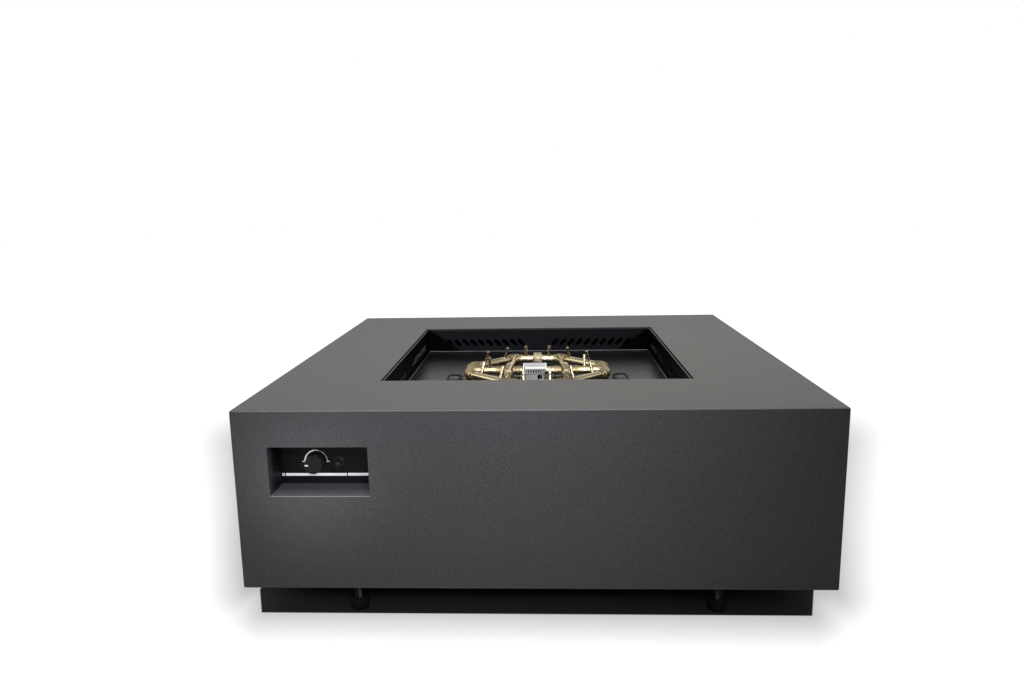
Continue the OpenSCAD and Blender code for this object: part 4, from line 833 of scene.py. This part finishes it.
def feet():
    """Rubber pads and the threaded stems that stand in them."""
    wide, rib = 19, 18.3
    pad = turned([(0, 0), (17, 0), (18.6, 0.6), (wide, 2), (wide, 7.5), (rib, 8), (rib, 9.5),
                  (wide, 10), (wide, 14.5), (rib, 15), (rib, 16.5), (wide, 17), (wide, 21),
                  (18.2, 23), (16, 24), (10.2, 24), (9.6, 23.4), (9.6, 16), (0, 16)], 56)
    stem = threaded(9, 2.0, 0.9, 16, 54)
    spots = [Matrix.Translation((x * 371.5, y * 587.5, 0)) for x in (-1, 1) for y in (-1, 1)]
    finished(joined([(pad, spot) for spot in spots]), "foot_pad_forms", "foot_rubber", "table",
             "foot_pads")
    finished(joined([(stem, spot) for spot in spots]), "foot_stem_threads", "zinc_steel", "table",
             "foot_stems", finish=finishes["black_zinc"], crisp=60)


lift_bails()
feet()
# The ears take the lighter grey of a painted sheen.
refined(0.4, "bail_ears", finish=finishes["ear_paint_painted_sheen"])
refined(0.4, "pan_screws", finish=finishes["black_zinc"])


# Control pocket

KNOB_X, KNOB_Z = -463.5, 299
BUTTON_X, BUTTON_Z = -411.5, 302


def controls():
    """Knob, pointer, button and barrel."""
    refined(0.35, "knob", "knob_pointer")
    radius, length, tip_y = 7.7, 33.5, -563.5
    dome = [(radius * sin(0.15 * i), 4 * (1 - cos(0.15 * i))) for i in range(8)]
    press = turned(dome + [(7.15, 2.5), (7.5, 3.1), (radius, 4), (radius, length), (0, length)], 56)
    tip = facing((BUTTON_X, tip_y, BUTTON_Z), (0, 1, 0))
    finished(joined([(press, tip)]), "igniter_button_dome", "knob_black", "button",
             "igniter_button")
    refined(0.6, "igniter_barrel")
    refined(0.4, "igniter_nut", "valve_body", "valve_screws", "panel_screws")


def springs():
    """Coil springs behind the plunger and the button, at their pushed-in length."""
    for name, place, spring in (
            ("valve_spring", (KNOB_X, -494.7, KNOB_Z), coil(5.4, 0.6, 7.2)),
            ("igniter_spring", (BUTTON_X, -523.7, BUTTON_Z), coil(4.35, 0.5, 6.2))):
        finished(joined([(spring, facing(place, (0, 1, 0)))]), name + "_coil", "zinc_steel",
                 "table", name)


controls()
springs()


# Gas lines and wires


def lines():
    """Braided hoses with crimped sleeves, the bent pilot tube, and the two wires."""
    nut_z = 290
    outlet = bezier((-471.5, -449.5, 293), (0, 230, 0), (0, 0, -230), (0, RING_Y, nut_z), 60)
    supply = bezier((-536.5, -300, 113), (0, 0, 110), (0, 0, -120), (-463.5, -506.5, 243), 44)
    sleeve = turned([(0, 0), (9, 0), (9.6, 0.6), (9.6, 4), (8.9, 5), (9.6, 6), (9.6, 9), (8.9, 10),
                     (9.6, 11), (9.6, 15.4), (9, 16), (0, 16)], 32)
    for name, route in (("outlet_hose", outlet), ("supply_hose", supply)):
        finished(run_of(route, 8, 20), name + "_braid", slot_of[name], "table", name,
                 finish=finishes["steel_braid"], crisp=80)
        ends = [(sleeve, facing(route[0], route[1] - route[0])),
                (sleeve, facing(route[-1], route[-2] - route[-1]))]
        finished(joined(ends), name + "_sleeves", "zinc_steel", "table")
    pilot_y, valve_y = -52, -473.5
    tube = bezier((-18, pilot_y, PAN_Z), (0, 0, -230), (0, 250, -60), (-445.5, valve_y, 311), 60)
    finished(run_of(tube, 3.2, 16), "pilot_tube_run", slot_of["pilot_tube"], "table",
             "pilot_tube", crisp=80)
    sensor = (-5, pilot_y, PAN_Z)
    lead = bezier(sensor, (0, 0, -70), (0, 220, -30), (-485.5, valve_y, 314), 60)
    tip = turned([(0, 0), (2.4, 0), (2.4, 24.6), (2.1, 25.6), (1.2, 26), (0, 26)], 24)
    finished(joined([(run_of(lead, 1.5, 12), Matrix()), (tip, Matrix.Translation(sensor))]),
             "flame_sensor_lead", slot_of["flame_sensor"], "table", "flame_sensor",
             finish=finishes["sooty_steel"])
    spark_end = (BUTTON_X, -457.5, BUTTON_Z)
    wire = bezier((9, pilot_y, PAN_Z), (0, 0, -120), (0, 210, -20), spark_end, 60)
    finished(run_of(wire, 2.5, 12), "ignition_wire_run", slot_of["ignition_wire"], "table",
             "ignition_wire", crisp=80)


lines()


# Stage, light and camera

EYE = (0.02158, -2.05597, 0.83500)


def pale_floor():
    """A wide pale floor that reads white in the picture. The table's shadow and the soft outline
    round it are painted on the floor, laid out from the photograph's own point of view, and they
    stay where they are in every other view."""
    mesh = bmesh.new()
    bmesh.ops.create_grid(mesh, x_segments=1, y_segments=1, size=14)
    data = bpy.data.meshes.new("floor")
    mesh.to_mesh(data)
    mesh.free()
    floor = shown(data, "floor")
    f = Finish("pale_floor", roughness=0.6, specular_ior_level=0.1, emission_strength=1.0)
    direct, mirrored, through = [f.add("ShaderNodeLightPath", {}, {}, f"Is {kind} Ray")
                                 for kind in ("Camera", "Glossy", "Transmission")]
    seen = direct + 0.15 * mirrored + through
    focal = 764
    y = f.part("Y")
    depth = y - EYE[1]
    across = (f.part("X") - EYE[0]) / depth
    front_row = 660 / depth - 458
    back_row = 200 * (y - 0.6)

    def spread(side, front):
        side, front = side.most(0), front.most(0)
        return (side * side + front * front) ** 0.5

    from_casing = spread(focal * (abs(across + 0.015) - 0.4214), front_row + 25)
    from_shade = spread(focal * (abs(across + 0.0208) - 0.3913), front_row.most(back_row))
    halo = 0.50 + 0.50 * (from_casing.least(from_shade) / 50).least(1)
    nearby = y.over(-1.5, -1.2) * (1 - y.over(0.45, 1.1))
    lit = 1 - (1 - halo) * nearby
    beside = abs(f.part("X")).over(0.61, 0.614)
    shaded = (1 - from_shade.over(0.0, 1.2)) * nearby * (1 - beside)
    f.shader_input("Emission Color", f.blend((1 - shaded) * lit * seen, (0, 0, 0), (1, 1, 1)))
    f.shader_input("Base Color", f.blend(shaded, (0.19, 0.19, 0.19), (0.016, 0.016, 0.018)))
    data.materials.append(f.material)


def studio_world():
    """Even pale surroundings: white where the camera sees them, dim on matt surfaces, and for
    mirrors darker overhead and in front, with a bright card high in front."""
    world = bpy.data.worlds.new("studio")
    bpy.context.scene.world = world
    w = Wiring(world)
    toward = w.add("ShaderNodeTexCoord", {}, {}, "Generated")
    back, up = [w.add("ShaderNodeSeparateXYZ", {}, {0: toward}, axis) for axis in (1, 2)]
    overhead = w.add(
        "ShaderNodeMapRange", {"interpolation_type": "SMOOTHSTEP"},
        {"Value": up, "From Min": 0.3, "From Max": 0.75, "To Min": 1.0, "To Max": 0.22})
    room = w.add(
        "ShaderNodeMapRange", {},
        {"Value": back, "From Min": -0.5, "From Max": 0.3, "To Min": 0.36, "To Max": overhead})
    card = (0, -0.42, 0.9075)
    to_card = w.add("ShaderNodeVectorMath", {"operation": "DOT_PRODUCT"}, {0: toward, 1: card},
                    "Value")
    level = room + 1.6 * to_card.over(0.88, 0.97)
    for ray, plain_level in (("Is Diffuse Ray", 0.14), ("Is Camera Ray", 1.0)):
        hit = w.add("ShaderNodeLightPath", {}, {}, ray)
        level = w.add("ShaderNodeMix", {"data_type": "FLOAT"}, {0: hit, 2: level, 3: plain_level})
    glow = w.add("ShaderNodeBackground", {}, {"Color": (1, 1, 1), "Strength": level})
    w.close("ShaderNodeOutputWorld", glow.socket)


def softbox(name, place, aim, size, watts, colour=(1, 1, 1), spread=pi, mirrored=True):
    lamp = bpy.data.lights.new(name, "AREA")
    lamp.shape = "RECTANGLE"
    lamp.size, lamp.size_y = size
    lamp.energy = watts
    lamp.color = colour
    lamp.spread = spread
    thing = shown(lamp, name)
    thing.location = place
    thing.rotation_euler = (Vector(aim) - Vector(place)).to_track_quat("-Z", "Y").to_euler()
    thing.visible_glossy = mirrored


def photograph_camera():
    pitch, yaw, roll = radians(10.497), radians(2.503), radians(-0.986)
    lens = bpy.data.cameras.new("camera")
    lens.lens = 26.86
    lens.sensor_width = 36
    camera = shown(lens, "camera")
    aim = Matrix.Rotation(yaw, 4, "Z") @ Matrix.Rotation(pi / 2 - pitch, 4, "X")
    tilt = Matrix.Rotation(roll, 4, "Z")
    camera.matrix_world = Matrix.Translation(EYE) @ aim @ tilt
    bpy.context.scene.camera = camera


pale_floor()
studio_world()
softbox("top_softbox", (0.2, 0.1, 2.15), (0.1, 0.05, 0.3), (1.2, 1.0), 44,
        (1.0, 0.975, 0.935), mirrored=False)
softbox("front_softbox", (-0.3, -3.3, 2.6), (0, -0.3, 0.4), (2.4, 1.0), 10)
softbox("near_softbox", (0.15, -1.9, 1.1), (-0.20, -0.61, 0.50), (0.4, 0.4), 3.4,
        (0.98, 0.985, 1.0), spread=1.2)
softbox("low_softbox", (-0.62, -1.5, 0.22), (-0.46, -0.6, 0.30), (0.15, 0.15), 0.12,
        spread=0.45, mirrored=False)
softbox("left_softbox", (-3.0, -0.4, 1.9), (0, 0, 0.4), (1.6, 1.6), 12)
photograph_camera()
scene = bpy.context.scene
scene.view_settings.view_transform = "Standard"
